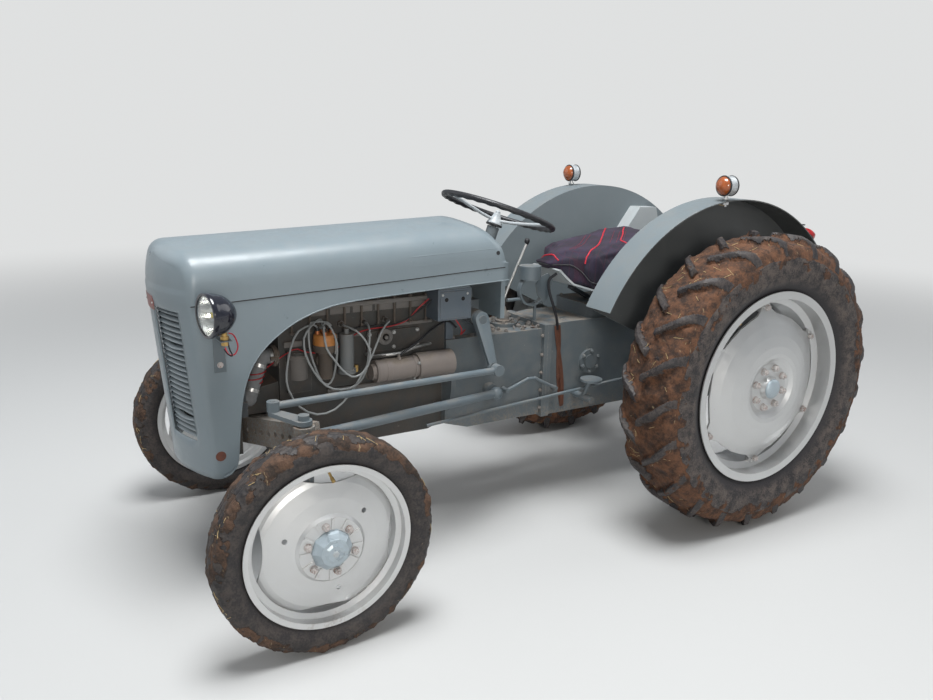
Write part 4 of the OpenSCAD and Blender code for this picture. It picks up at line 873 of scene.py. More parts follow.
def rear_tyre(name, side):
    prof = whole_profile([(0.1, 0.356), (0.1035, 0.37), (0.104, 0.3795), (0.112, 0.393), (0.126, 0.415),
                          (0.1335, 0.44), (0.1365, 0.47), (0.1335, 0.505), (0.126, 0.53), (0.115, 0.545),
                          (0.098, 0.553), (0.07, 0.5595), (0.035, 0.563), (0.0, 0.564)], 4)
    pitch = 2 * math.pi / LUG_N
    shift = [(0.0, 1.12), (0.004, 1.1), (0.071, -0.28), (0.132, -2.0), (0.16, -2.7)]
    half_wide = [(0.0, 0.4), (0.07, 0.46), (0.132, 0.52)]
    tread = []
    for t, r in prof:
        a = abs(t)
        # How far a lug stands at this place across the tread: full on top, run out down the shoulder
        full = REAR_R - r if r > 0.5585 else max(0.0, 0.0315 * (1 - max(0.0, (0.5585 - r) / 0.04)))
        tread.append((lookup(a, shift) * LUG_W, lookup(a, half_wide) * LUG_W, full, 0.0 if t >= 0 else 0.5))

    def rule(phi, j, t, r, dy, dz):
        at = (side * t, r * dy, r * dz)
        n1 = noise_at(at, 16.0, 3, side * 3.0)
        n2 = noise_at(at, 60.0, 2, 7.0)
        if r > 0.505:
            # The nearest lug of this side, by its distance round the tyre
            lean, wide, full, half_step = tread[j]
            w = ((phi / pitch - half_step - lean / TREAD_R / pitch + 0.5) % 1.0 - 0.5) * pitch * TREAD_R
            edge = unit(0.5 - (abs(w) - wide - 0.002) / 0.009)
            rise = full * edge * edge * (3 - 2 * edge)
            bare = min(1.0, max(0.0, rise / max(full, 1e-4) - 0.15) / 0.45)
            if rise > full * 0.9:
                rise -= 0.001 + 0.0018 * abs(n2)
            else:
                fill = max(0.0, 0.25 + n1 * 1.1) * 0.0085 * min(1.0, full / 0.02)
                rise = max(rise - 0.0012 - 0.0014 * abs(n2), fill + 0.0035 * n2)
            return t, min(REAR_R - SKIN, r + rise), 0.9 - 0.72 * bare + 0.42 * n1 + 0.25 * n2, 0.55
        clean = unit((r - 0.405) / 0.045)
        rise = max(-0.001, (max(0.0, n1 + 0.05) * 0.008 + 0.0014 * n2) * clean)
        across = math.copysign(min(SIDEWALL_X, abs(t) + rise * 0.9), t) if abs(t) > 0.1 else t
        mud = clean * unit((r - 0.44) / 0.05) * (0.42 + 1.1 * n1 + 0.3 * n2)
        return across, min(REAR_R - SKIN, r + rise * 0.35), mud, unit((r - 0.4) / 0.03) * 0.95

    return casing(name, side, P(side * REAR_X, 0, REAR_R), prof, 756, rule, "tyre_mud")


def front_tyre(name, side):
    prof = whole_profile([(0.036, 0.2445), (0.04, 0.255), (0.047, 0.266), (0.0555, 0.279), (0.0585, 0.295),
                          (0.0575, 0.308), (0.052, 0.322), (0.044, 0.331), (0.036, 0.3345), (0.03, 0.3365),
                          (0.026, 0.335), (0.022, 0.3375), (0.014, 0.3395), (0.01, 0.3375), (0.005, 0.3395),
                          (0.0, 0.3398)], 3)

    def rule(phi, j, t, r, dy, dz):
        at = (side * t, r * dy + 4.0 * side, r * dz)
        n1 = noise_at(at, 22.0, 3, 1.5)
        n2 = noise_at(at, 75.0, 2, 5.0)
        rise = (max(0.0, n1 * 0.9 + 0.1) * 0.0085 + 0.0024 * n2) * unit((r - 0.278) / 0.03)
        mud = unit((r - 0.288) / 0.03) * (0.5 + 1.2 * n1 + 0.3 * n2)
        out = min(FRONT_R - 0.0004, r + max(-0.002, rise * (0.8 if r > 0.325 else 0.3)))
        across = math.copysign(min(0.0598, abs(t) + max(-0.001, rise) * 0.7), t) if abs(t) > 0.04 else t
        return across, out, mud, 0.35 + 0.6 * unit((r - 0.262) / 0.02)

    return casing(name, side, P(side * FRONT_X, -WHEELBASE, FRONT_R), prof, 540, rule, "front_tyre_mud")


# Lamps
LAMP_POST = (0.33, -1.964)
LAMP_TOE = 11


def headlamp(side, label):
    """A painted bowl with a glossy dark rim, a reflector with its bulb and a fluted lens, on a bent strip."""
    body = "bonnet_shell"
    px, py = side * LAMP_POST[0], LAMP_POST[1]
    # The left lamp has been knocked a little outwards on its post
    toe = rotation(LAMP_TOE if side > 0 else 0, "Z")
    toe = Matrix.Translation(P(px, py, 0.0)) @ toe @ Matrix.Translation((0, -0.05, 0.985))
    bowl = [(0.082, 0.0), (0.072, 0.028), (0.055, 0.045), (0.03, 0.057), (0.008, 0.06), (-0.006, 0.06),
            (-0.006, 0.0655), (-0.003, 0.067), (0.004, 0.0678), (0.01, 0.066), (0.018, 0.064),
            (0.032, 0.0615), (0.048, 0.056), (0.062, 0.046), (0.075, 0.033), (0.084, 0.018), (0.0875, 0.0)]
    rim = [(-0.0065, 0.059), (-0.0075, 0.0625), (-0.007, 0.0665), (-0.004, 0.068), (-0.004, 0.065),
           (-0.0052, 0.0592), (-0.0065, 0.059)]
    reflector = [(0.076, 0.0), (0.07, 0.02), (0.058, 0.037), (0.04, 0.049), (0.018, 0.0565), (0.002, 0.0595),
                 (0.001, 0.059), (0.018, 0.0555), (0.04, 0.048), (0.057, 0.036), (0.069, 0.019), (0.075, 0.0)]
    lens = [(-0.0145, 0.0), (-0.0138, 0.02), (-0.0115, 0.04), (-0.007, 0.054), (-0.004, 0.0588),
            (-0.0015, 0.0592), (-0.002, 0.057), (-0.005, 0.052), (-0.0092, 0.039), (-0.0115, 0.02),
            (-0.0122, 0.0)]
    bulb = [(0.012, 0.0), (0.015, 0.009), (0.025, 0.0165), (0.036, 0.015), (0.046, 0.009), (0.068, 0.007),
            (0.068, 0.0)]
    for part, profile, material, steps in (("bowl", bowl, "lamp_dark", 64), ("rim", rim, "lamp_dark", 64),
                                           ("reflector", reflector, "reflector", 64),
                                           ("lens", lens, "glass_lens", 64),
                                           ("bulb", bulb, "bulb_glass", 32)):
        lathe("headlamp_%s_%s" % (part, label), profile, toe, "Y", material, body, steps,
              ("headlamp_" + label,) if part == "bowl" else ())
    upright = rounded_box((0.0036, 0.036, 0.119), 0.0012, P(side * 0.2522, py, 0.843))
    shelf = rounded_box((0.0996, 0.036, 0.0037), 0.0012, P(side * 0.3002, py, 0.90435))
    joined("headlamp_strip_" + label, [upright, shelf], "rod_paint", body)
    post = [cylinder(r, P(px, py, low), P(px, py, high), n) for r, low, high, n in ((0.0085, 0.892, 0.932,
            20), (0.013, 0.9065, 0.917, 6), (0.011, 0.889, 0.9025, 6))]
    joined("headlamp_post_" + label, post, "brass", body)
    bolts("headlamp_bolts_" + label, [P(side * 0.2538, py, 0.808)], (side, 0, 0), 0.0085, 0.007, "nut_worn",
          body)
    # Wires loop from the lamp into the bonnet
    red = [(0.33, -1.951, 0.925), (0.322, -1.938, 0.918), (0.306, -1.926, 0.9), (0.296, -1.918, 0.872),
           (0.288, -1.925, 0.848), (0.276, -1.938, 0.842), (0.262, -1.944, 0.85), (0.2505, -1.946, 0.861)]
    black = [(0.33, -1.955, 0.893), (0.326, -1.95, 0.872), (0.312, -1.94, 0.853), (0.292, -1.938, 0.843),
             (0.272, -1.944, 0.846), (0.2505, -1.95, 0.858)]
    wires("headlamp_wire_red_" + label, [path_of(red, side)], 0.0021, "piping_red", body)
    wires("headlamp_wire_black_" + label, [path_of(black, side)], 0.0021, "wire_black", body)


def fender_lamps():
    """Two-ended round lamps: an amber dome, a silver drum and dark rubber rims, on a bolted post."""
    x0 = 0.484
    dome = [(-0.0378, 0.0), (-0.0372, 0.008), (-0.0345, 0.0185), (-0.029, 0.0275), (-0.0215, 0.0335),
            (-0.015, 0.036), (-0.011, 0.036), (-0.011, 0.0)]
    drum = [(-0.0125, 0.0), (-0.0125, 0.0372), (-0.01, 0.0378), (0.006, 0.0372), (0.012, 0.0378),
            (0.024, 0.0374), (0.0262, 0.035), (0.0262, 0.0)]
    rim = [(-0.0035, 0.035), (-0.003, 0.0385), (0.0, 0.0397), (0.003, 0.0385), (0.0035, 0.035),
           (-0.0035, 0.035)]
    back = [(0.0262, 0.0), (0.0262, 0.034), (0.03, 0.0325), (0.0355, 0.022), (0.0378, 0.0)]
    # The lead runs down inside the fender
    lead = [(x0, -0.08, 1.268), (0.478, -0.11, 1.272)]
    for deg in (100, 106, 112, 119, 126, 133, 140, 147):
        a = math.radians(deg)
        r = 0.688 - 0.03 * math.sin(math.radians((deg - 100) * 2.2))
        lead.append((0.44 - 0.0009 * (deg - 100), r * math.cos(a), REAR_R + r * math.sin(a)))
    for s, label in SIDES:
        c = P(s * x0, -0.078, 1.3423)
        lathe("fender_lamp_dome_" + label, dome, c, "Y", "amber_lens", steps=40, stands_for=("fender_lamps",))
        lathe("fender_lamp_drum_" + label, drum, c, "Y", "drum_silver")
        for k, y in enumerate((-0.0145, 0.0245)):
            lathe("fender_lamp_rim_%d_%s" % (k, label), [(t + y, r) for t, r in rim], c, "Y", "rubber_black")
        lathe("fender_lamp_back_" + label, back, c, "Y", "rubber_black", steps=40)
        post = [cylinder(r, P(s * x0, -0.076, low), P(s * x0, -0.076, high), n)
                for r, low, high, n in ((0.0085, 1.2922, 1.3085, 20), (0.0145, 1.2922, 1.2965, 20),
                                        (0.013, 1.271, 1.2818, 6), (0.0055, 1.264, 1.272, 12))]
        joined("fender_lamp_post_" + label, post, "lamp_silver")
        wires("fender_lamp_lead_" + label, [path_of(lead, s)], 0.0022, "wire_tan" if s > 0 else "wire_black",
              sides=6)


def tail_lamp():
    m = Matrix.Translation(P(0, 0, REAR_R)) @ rotation(-42, "X") @ Matrix.Translation((0.45, 0, 0.7))
    base = [(0.0023, 0.0), (0.0023, 0.0355), (0.006, 0.036), (0.015, 0.0335), (0.017, 0.03), (0.017, 0.0)]
    lens = [(0.017, 0.0), (0.017, 0.0325), (0.03, 0.0325), (0.0375, 0.029), (0.041, 0.02), (0.0423, 0.0)]
    lathe("tail_lamp_base", base, m, "Z", "rubber_black", stands_for=("tail_lamp",))
    lathe("tail_lamp_lens", lens, m, "Z", "red_lens")
    at = [(0.027 * math.cos(a), 0.027 * math.sin(a)) for a in (0.6, 0.6 + math.pi)]
    joined("tail_lamp_screws", [moved(cylinder(0.0028, (x, y, 0.036), (x, y, 0.0405), 10), m) for x, y in at],
           "bright_steel")
    lead = [(0.0, -0.03, 0.012), (0.0, -0.05, 0.004), (0.004, -0.075, 0.0035), (0.03, -0.095, 0.003),
            (0.0485, -0.1, 0.002)]
    wires("tail_lamp_lead", [[m @ Vector(q) for q in lead]], 0.0028, "wire_black")


# Seat: a stuffed cover laid on the pan, with its piping sewn on afterwards
PAN = [(-0.56, 0.989), (-0.552, 0.9893), (-0.495, 0.9313), (-0.418, 0.9053), (-0.262, 0.9073),
       (-0.124, 0.9573), (0.044, 1.0903)]


# The cover swells by this much at most, and stays inside these bounds
SWELL, SEAT_HALF, SEAT_TOP = 0.014, 0.2005, 1.118


def pan_z(y):
    return lookup(y, PAN)


def coordinates(me):
    co = np.empty(len(me.vertices) * 3)
    me.vertices.foreach_get("co", co)
    return co


def swell(ob, cap):
    """The fabric swells as it is filled, and no point moves further than the cap."""
    rest = coordinates(ob.data)
    cloth = ob.modifiers.new("fill", "CLOTH")
    for k, v in {"quality": 4, "mass": 0.3, "tension_stiffness": 10.0, "compression_stiffness": 10.0,
                 "bending_stiffness": 0.4, "use_pressure": True, "uniform_pressure_force": 4.0}.items():
        setattr(cloth.settings, k, v)
    cloth.settings.effector_weights.gravity = 0.0
    cloth.collision_settings.use_collision = False
    for f in range(1, 21):
        scene.frame_set(f)
    now = coordinates(baked(ob))
    ob.modifiers.remove(cloth)
    scene.frame_set(1)
    move = (now - rest).reshape(-1, 3)
    size = np.linalg.norm(move, axis=1, keepdims=True)
    move *= np.minimum(1.0, cap / np.maximum(size, 1e-9))
    ob.data.vertices.foreach_set("co", (rest.reshape(-1, 3) + move).reshape(-1))
    ob.data.update()


def bell(v, wide):
    return math.exp(-(v / wide) ** 2)


def seat_cushion():
    src = object_of("source", nodes["seat_cushion"].data.copy())

    def thinner(bm):
        weld(bm)
        for v in bm.verts:
            # Start a little smaller than the finished cushion
            bottom = pan_z(v.co.y - AXLE_Y)
            v.co.x *= 0.955
            if v.co.z - bottom > 0.004:
                v.co.z = bottom + (v.co.z - bottom) * 0.97

    def smoothed(bm):
        for _ in range(10):
            bmesh.ops.smooth_vert(bm, verts=bm.verts, factor=0.5, use_axis_x=True, use_axis_y=True,
                                  use_axis_z=True)

    edited(src.data, thinner)
    mesh = src.modifiers.new("even", "REMESH")
    mesh.mode = "VOXEL"
    mesh.voxel_size = 0.0065
    me = baked(src)
    bpy.data.objects.remove(src)
    edited(me, smoothed)
    me.name = "seat_cushion_cover"
    ob = object_of("seat_cushion_cover", me)
    swell(ob, SWELL)
    # It lies on the pan, sags a little where it is sat on, and its skin creases lightly
    for v in me.vertices:
        x, y = v.co.x, v.co.y - AXLE_Y
        bottom = pan_z(y)
        if v.co.z > bottom + 0.05:
            corner = 0.02 * max(0.0, (y + 0.06) / 0.1) * max(0.0, (abs(x) - 0.08) / 0.11)
            crease = 0.0016 * math.sin(34 * x + 21 * y) * math.sin(17 * y - 9 * x)
            v.co.z += corner + 0.01 * bell(y + 0.36, 0.12) - 0.004 * bell(x, 0.12) * bell(y + 0.2,
                    0.12) + crease
            v.co.z += 0.004 * noise.noise(Vector((x * 9, y * 9, 0.0)))
        if y > -0.56:
            v.co.z = max(v.co.z, bottom + 0.0012)
        v.co.x = max(-SEAT_HALF, min(SEAT_HALF, v.co.x))
        v.co.z = min(v.co.z, SEAT_TOP)
    me.materials.clear()
    me.materials.append(MATERIALS["seat_cover"])
    smooth_all(me)
    sub = ob.modifiers.new("smooth", "SUBSURF")
    sub.levels = sub.render_levels = 1
    cover = BVHTree.FromObject(ob, bpy.context.evaluated_depsgraph_get())
    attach(ob, "chassis")
    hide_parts("seat_cushion")

    def sewn(name, lines, radius, material, depth):
        paths = []
        for line in lines:
            hits = [cover.ray_cast(P(q.x, q.y, 1.4), Vector((0, 0, -1)))
                    for q in spline([(x, y, 0) for x, y in line], 10)]
            pts = [hit[0] + hit[1] * depth for hit in hits if hit[0] is not None]
            if len(pts) > 2:
                paths.append(pts)
        wires(name, paths, radius, material, straight=True)

    piping = [[(-0.12, -0.15), (-0.06, -0.212), (-0.014, -0.256), (0.086, -0.358), (0.125, -0.441),
               (0.128, -0.505)],
              [(0.128, -0.505), (0.09, -0.524), (0.057, -0.532), (-0.012, -0.545), (-0.06, -0.548)],
              [(0.128, -0.505), (0.16, -0.514), (0.183, -0.512)],
              [(-0.11, -0.05), (-0.04, -0.118), (0.02, -0.17), (0.075, -0.227), (0.11, -0.256),
               (0.138, -0.258), (0.165, -0.24), (0.17, -0.215), (0.15, -0.155), (0.138, -0.118)]]
    sewn("seat_piping", piping, 0.0034, "piping_red", 0.0008)
    front, back = [(-0.075, -0.17), (-0.02, -0.225), (0.045, -0.29), (0.085, -0.33)], [(-0.08, -0.245),
            (-0.03, -0.3), (0.03, -0.37), (0.06, -0.44)]
    fine = [[(x + 0.016 * k, y + 0.02 * k) for x, y in front] for k in (1, 2, 3)]
    fine += [[(x - 0.012 * k, y - 0.014 * k) for x, y in back] for k in (1, 2)]
    sewn("seat_stitching", fine, 0.0011, "line_red", 0.0003)
    # The hem cord round the cover's lower edge
    ring = []
    for k in range(96):
        t = 2 * math.pi * k / 96
        way = Vector((math.sin(t), math.cos(t), 0))
        hit = cover.ray_cast(P(0, -0.27, pan_z(-0.27 + 0.3 * way.y) + 0.013) + way * 0.6, -way)
        if hit[0] is not None:
            ring.append(hit[0] + hit[1] * 0.0006)
    wires("seat_hem", [ring + ring[:1]], 0.0026, "rubber_black", sides=6, per=2)


def steering_wheel():
    """A rim with finger grips, bent spokes and a boss."""
    body = "steering_wheel"
    m = Matrix.Translation(P(0, -0.802, 1.221)) @ rotation(-19.7, "X")
    verts = []
    rows, cols = 180, 16
    for i in range(rows):
        u = 2 * math.pi * i / rows
        for j in range(cols):
            v = 2 * math.pi * j / cols
            grip = max(0.0, -math.sin(v)) * (0.5 + 0.5 * math.cos(30 * u))
            r = 0.0119 - 0.0026 * grip
            w = 0.223 + r * math.cos(v)
            verts.append(m @ Vector((w * math.cos(u), w * math.sin(u), r * math.sin(v))))
    joined("steering_rim", [(verts, grid_faces(rows, cols, True, True))], "rim_black", body, (body,), True)
    paths = []
    for deg in (30, 150, 270):
        a = math.radians(deg)
        d = Vector((math.cos(a), math.sin(a), 0))
        paths.append([m @ (d * r + Vector((0, 0, z))) for r, z in ((0.014, -0.034), (0.06, -0.031),
                (0.125, -0.02), (0.185, -0.008), (0.216, -0.002))])
    wires("steering_spokes", paths, 0.0062, "hub_grey", body, 12, 6)
    boss = [(-0.055, 0.0102), (-0.056, 0.0305), (-0.05, 0.0315), (-0.044, 0.03), (-0.034, 0.0225),
            (-0.02, 0.017), (-0.01, 0.015), (-0.008, 0.0105), (-0.001, 0.0098), (0.003, 0.007), (0.005, 0.0),
            (-0.01, 0.0), (-0.01, 0.0102)]
    joint = [(-0.0575, 0.027), (-0.0575, 0.0318), (-0.054, 0.0326), (-0.0505, 0.0322), (-0.0505, 0.029)]
    lathe("steering_boss", boss, m, "Z", "hub_grey", body, 40)
    lathe("steering_joint", joint, m, "Z", "rubber_black", body, 40)


def wheel_details(side, label):
    """Wheels: caps, studs, worn nuts and the valves."""

    def at(z, r, deg):
        a = math.radians(deg)
        return c + Vector((side * z, -r * math.sin(a), r * math.cos(a)))

    def around(count, z, r, first):
        return [at(z, r, first + 360 / count * k) for k in range(count)]

    out = (side, 0, 0)
    body = "front_wheel_" + label
    c = P(side * FRONT_X, -WHEELBASE, FRONT_R)
    m = Matrix.Translation(c) @ facing(side)
    # The cap is pressed with ten flats below a small dome and a square plug
    cap = [(0.0502, 0.03), (0.0502, 0.0618), (0.053, 0.0622), (0.059, 0.0614), (0.065, 0.0565),
           (0.077, 0.044), (0.08, 0.0425), (0.0815, 0.0315), (0.0852, 0.0236), (0.0868, 0.0)]
    plug = [(0.0845, 0.0), (0.0845, 0.0105), (0.0872, 0.0105), (0.0885, 0.006), (0.0885, 0.0)]
    lathe("front_cap_" + label, cap, m, "X", "cap_grey", body, 10, smooth=False)
    lathe("front_cap_plug_" + label, plug, m, "X", "hub_grey", body, 6, smooth=False)
    bolts("front_studs_" + label, around(6, 0.0508, 0.075, 12.5), out, 0.0108, 0.013, "nut_worn", body)
    valve = [cylinder(0.004, at(0.006, 0.226, -3), at(0.026, 0.21, -4), 12),
             cylinder(0.0055, at(0.0255, 0.2105, -4), at(0.037, 0.201, -5), 12)]
    joined("front_valve_" + label, valve, "brass", body)

    body = "rear_wheel_" + label
    c = P(side * REAR_X, 0, REAR_R)
    m = Matrix.Translation(c) @ facing(side)
    cap = [(0.117, 0.0), (0.117, 0.0385), (0.1195, 0.0388), (0.124, 0.0368), (0.1285, 0.03), (0.1312, 0.019),
           (0.1323, 0.0)]
    ring = [(0.0995, 0.036), (0.0995, 0.048), (0.104, 0.047), (0.11, 0.042), (0.1178, 0.0402),
            (0.1178, 0.036)]
    lathe("rear_cap_" + label, cap, m, "X", "cap_grey", body)
    lathe("rear_cap_ring_" + label, ring, m, "X", "wheel_silver", body)
    bolts("rear_studs_" + label, around(8, 0.0998, 0.079, 75), out, 0.013, 0.0165, "nut_worn", body)
    bolts("rear_clamp_bolts_" + label, around(6, 0.064, 0.311, 3), out, 0.0112, 0.0112, "nut_worn", body)
    valve = [cylinder(0.0045, at(0.052, 0.338, 33), at(0.066, 0.322, 33), 12),
             cylinder(0.0058, at(0.0655, 0.3225, 33), at(0.076, 0.311, 33), 12)]
    joined("rear_valve_" + label, valve, "brass", body)


# Engine bay
def band(half, low, high):
    """The profile of a flat ring round a pipe."""
    return [(-half, low), (-half, high), (half, high), (half, low)]


def row(x, y, z, step, count):
    return [P(x, y + step * k, z) for k in range(count)]


def distributor():
    cx, cy = 0.157, -1.588
    cap = [(0.8105, 0.0), (0.8105, 0.0412), (0.815, 0.0415), (0.83, 0.0402), (0.842, 0.0385), (0.8465, 0.035),
           (0.848, 0.023), (0.85, 0.0)]
    tower = [(0.842, 0.0), (0.842, 0.0098), (0.853, 0.0082), (0.8578, 0.0076), (0.8578, 0.0)]
    boot = [(0.8575, 0.0), (0.8575, 0.0064), (0.864, 0.006), (0.87, 0.0046), (0.87, 0.0)]
    middle = [(0.846, 0.0), (0.846, 0.0088), (0.86, 0.0078), (0.863, 0.006), (0.863, 0.0)]
    lathe("distributor_cap", cap, P(cx, cy, 0), "Z", "cap_amber")
    places = []
    for i in range(4):
        a = math.radians(100 + 80 * i)
        places.append(P(cx + 0.025 * math.cos(a), cy + 0.025 * math.sin(a), 0))
    towers = [turned(tower, p, 20, "Z") for p in places] + [turned(middle, P(cx, cy, 0), 20, "Z")]
    joined("distributor_towers", towers, "copper", smooth=True)
    joined("lead_boots", [turned(boot, p, 16, "Z") for p in places], "rubber_black", smooth=True)
    clips = []
    for deg in (35, 215):
        a = math.radians(deg)
        d = Vector((math.cos(a), math.sin(a), 0))
        clips.append([P(cx, cy, z) + d * r for z, r in ((0.78, 0.0405), (0.795, 0.0432), (0.818, 0.0435),
                (0.832, 0.0425), (0.838, 0.0392))])
    wires("distributor_clips", clips, 0.0024, "bright_steel")


def hose_details():
    """Ties on the hoses, and a wire wound round the lower one."""
    low, high = P(0.12, -1.846, 0.64), P(0.095, -1.79, 0.772)
    wide, slim = band(0.006, 0.0236, 0.0262), band(0.006, 0.0206, 0.0232)
    ties = [moved(turned(wide, steps=28), Matrix.Translation(low.lerp(high, t)) @ turn_to(high - low))
            for t in (0.22, 0.8)]
    ties.append(turned(wide, P(0.095, -1.76, 0.772), 28, "Y"))
    ties += [turned(slim, P(0, y, z), 28, "Y") for y, z in ((-1.868, 1.062), (-1.752, 0.985))]
    joined("hose_clamps", ties, "bright_steel", smooth=True)
    loop = []
    for k in range(40):
        t = k / 39
        a = 2 * math.pi * 2.2 * t + 0.5
        loop.append(low.lerp(high, 0.4 + 0.28 * t) + Vector((0.0265 * math.cos(a), 0.0265 * math.sin(a), 0)))
    end = path_of([(0.15, -1.7, 0.8), (0.155, -1.66, 0.79), (0.15, -1.622, 0.78)])
    wires("hose_wire", [loop + end], 0.0022, "wire_red", sides=6, per=3)


def block_details():
    """A dusty ledge along the head, the hose's flange, core plugs, studs and wires along the block."""
    ledge = [rounded_box((0.03, 0.56, 0.016), 0.004, P(0.122, -1.432, 0.934)),
             rounded_box((0.012, 0.556, 0.03), 0.003, P(0.1125, -1.432, 0.915))]
    joined("head_ledge", ledge, "dusty_grey", smooth=True)
    flange = [(-0.008, 0.0), (-0.008, 0.036), (0.004, 0.037), (0.004, 0.03), (0.012, 0.028), (0.012, 0.0)]
    plug = [(0.0, 0.0), (0.0, 0.019), (0.003, 0.019), (0.004, 0.015), (0.002, 0.0)]
    parts = [turned(flange, P(0.095, -1.748, 0.772), 32, "Y")]
    parts += [turned(plug, P(0.1152, y, 0.665), 32) for y in (-1.53, -1.405, -1.25, -1.14)]
    parts += [cylinder(0.007, P(x, -1.742, 0.772), P(x, -1.77, 0.772), 6) for x in (0.062, 0.128)]
    joined("block_fittings", parts, "dusty_iron", smooth=True)
    pipe = [(0.11, -1.418, 0.744), (0.161, -1.418, 0.744), (0.161, -1.306, 0.744), (0.155, -1.25, 0.758),
            (0.11, -1.158, 0.752)]
    wires("steel_pipe", [path_of(pipe)], 0.0071, "bright_steel", sides=12, straight=True)
    studs, nuts = [], []
    for p in row(0.124, -1.692, 0, 0.0635, 9):
        at = [p + Vector((0, 0, z)) for z in (0.846, 0.95, 0.9415, 0.852)]
        studs.append(at[:2])
        nuts += [(at[2], (0, 0, 1)), (at[3], (0, 0, -1))]
    wires("head_studs", studs, 0.0046, "dusty_iron", straight=True)
    bolts("head_stud_nuts", nuts, None, 0.0085, 0.0065, "dusty_iron")
    red = [[(0.16, -1.19, 0.935), (0.15, -1.23, 0.9), (0.14, -1.27, 0.858), (0.136, -1.33, 0.842),
            (0.134, -1.42, 0.838), (0.138, -1.48, 0.822), (0.15, -1.54, 0.79)],
           [(0.19, -1.1, 0.862), (0.2, -1.075, 0.82), (0.17, -1.06, 0.79), (0.15, -1.03, 0.8)]]
    black = [[(0.17, -1.18, 0.935), (0.152, -1.235, 0.885), (0.134, -1.3, 0.85), (0.131, -1.4, 0.8485),
              (0.131, -1.47, 0.846), (0.14, -1.52, 0.82)],
             [(0.205, -1.08, 0.87), (0.212, -1.04, 0.84), (0.19, -0.99, 0.812), (0.16, -0.96, 0.795)]]
    wires("loom_red", [path_of(p) for p in red], 0.0024, "wire_red", sides=6)
    wires("loom_black", [path_of(p) for p in black], 0.003, "wire_black", sides=6)
    # Heads along the sump flange, the head and the covers
    sump = [(p, (s, 0, 0)) for s in (1, -1) for p in row(s * 0.1242, -1.715, 0.605, 0.062, 10)]
    bolts("sump_bolts", sump, None, 0.0065, 0.0055)
    bolts("head_bolts", [p for s in (1, -1) for p in row(s * 0.095, -1.7, 0.9572, 0.075, 8)], (0, 0, 1),
          0.0085, 0.008)
    cover = [(-1.41, 0.762), (-1.22, 0.762), (-1.41, 0.816), (-1.22, 0.816), (-1.315, 0.762), (-1.315, 0.816)]
    bolts("cover_bolts", [P(0.1262, y, z) for y, z in cover], (1, 0, 0), 0.0065, 0.006)
    can = [(0.688, 0.0), (0.688, 0.0308), (0.758, 0.031), (0.76, 0.0345), (0.768, 0.0345), (0.772, 0.0308),
           (0.786, 0.025), (0.788, 0.0)]
    dome = [(0.137, 0.0), (0.137, 0.0275), (0.139, 0.029), (0.145, 0.0285), (0.148, 0.024), (0.148, 0.0)]
    knob = [(0.148, 0.0), (0.148, 0.0075), (0.156, 0.007), (0.157, 0.0)]
    blocks = [(0.121, -1.69, 0.812, 0.014, 0.064, 0.02), (0.12, -1.5, 0.822, 0.012, 0.11, 0.014),
              (0.118, -1.24, 0.842, 0.01, 0.17, 0.012), (0.119, -1.36, 0.628, 0.01, 0.42, 0.014)]
    parts = [turned(can, P(0.119, -1.672, 0), 36, "Z"), turned(dome, P(0, -1.356, 0.806), 36),
             turned(knob, P(0, -1.356, 0.806), 12)]
    parts += [rounded_box(b[3:], 0.003, P(*b[:3])) for b in blocks]
    joined("dusty_castings", parts, "dusty_grey", smooth=True)


def starter_details():
    """The starter's bands, terminal and cable."""
    x, z = 0.165, 0.69
    parts = [turned([(a, 0.0398), (a, 0.0418), (b, 0.0418), (b, 0.0398)], P(x, 0, z), 48, "Y")
             for a, b in ((-1.405, -1.397), (-1.372, -1.354), (-1.263, -1.252))]
    parts += [cylinder(r, P(x + 0.012, -1.318, z + a), P(x + 0.012, -1.318, z + b), n)
              for r, a, b, n in ((0.006, 0.036, 0.054, 12), (0.009, 0.037, 0.044, 6))]
    joined("starter_bands", parts, "starter_case", smooth=True)
    ring = [P(x + 0.044 * math.cos(a), -1.2475, z + 0.044 * math.sin(a)) for a in (0.5, 2.6, 4.7)]
    bolts("starter_bolts", ring, (0, -1, 0), 0.006, 0.007)
    cable = [(0.012, -1.318, 0.046), (0.02, -1.3, 0.066), (0.01, -1.24, 0.094), (-0.01, -1.17, 0.13),
             (-0.02, -1.105, 0.15), (-0.03, -1.06, 0.12)]
    wires("starter_cable", [[P(x + u, y, z + w) for u, y, w in cable]], 0.0042, "wire_black")


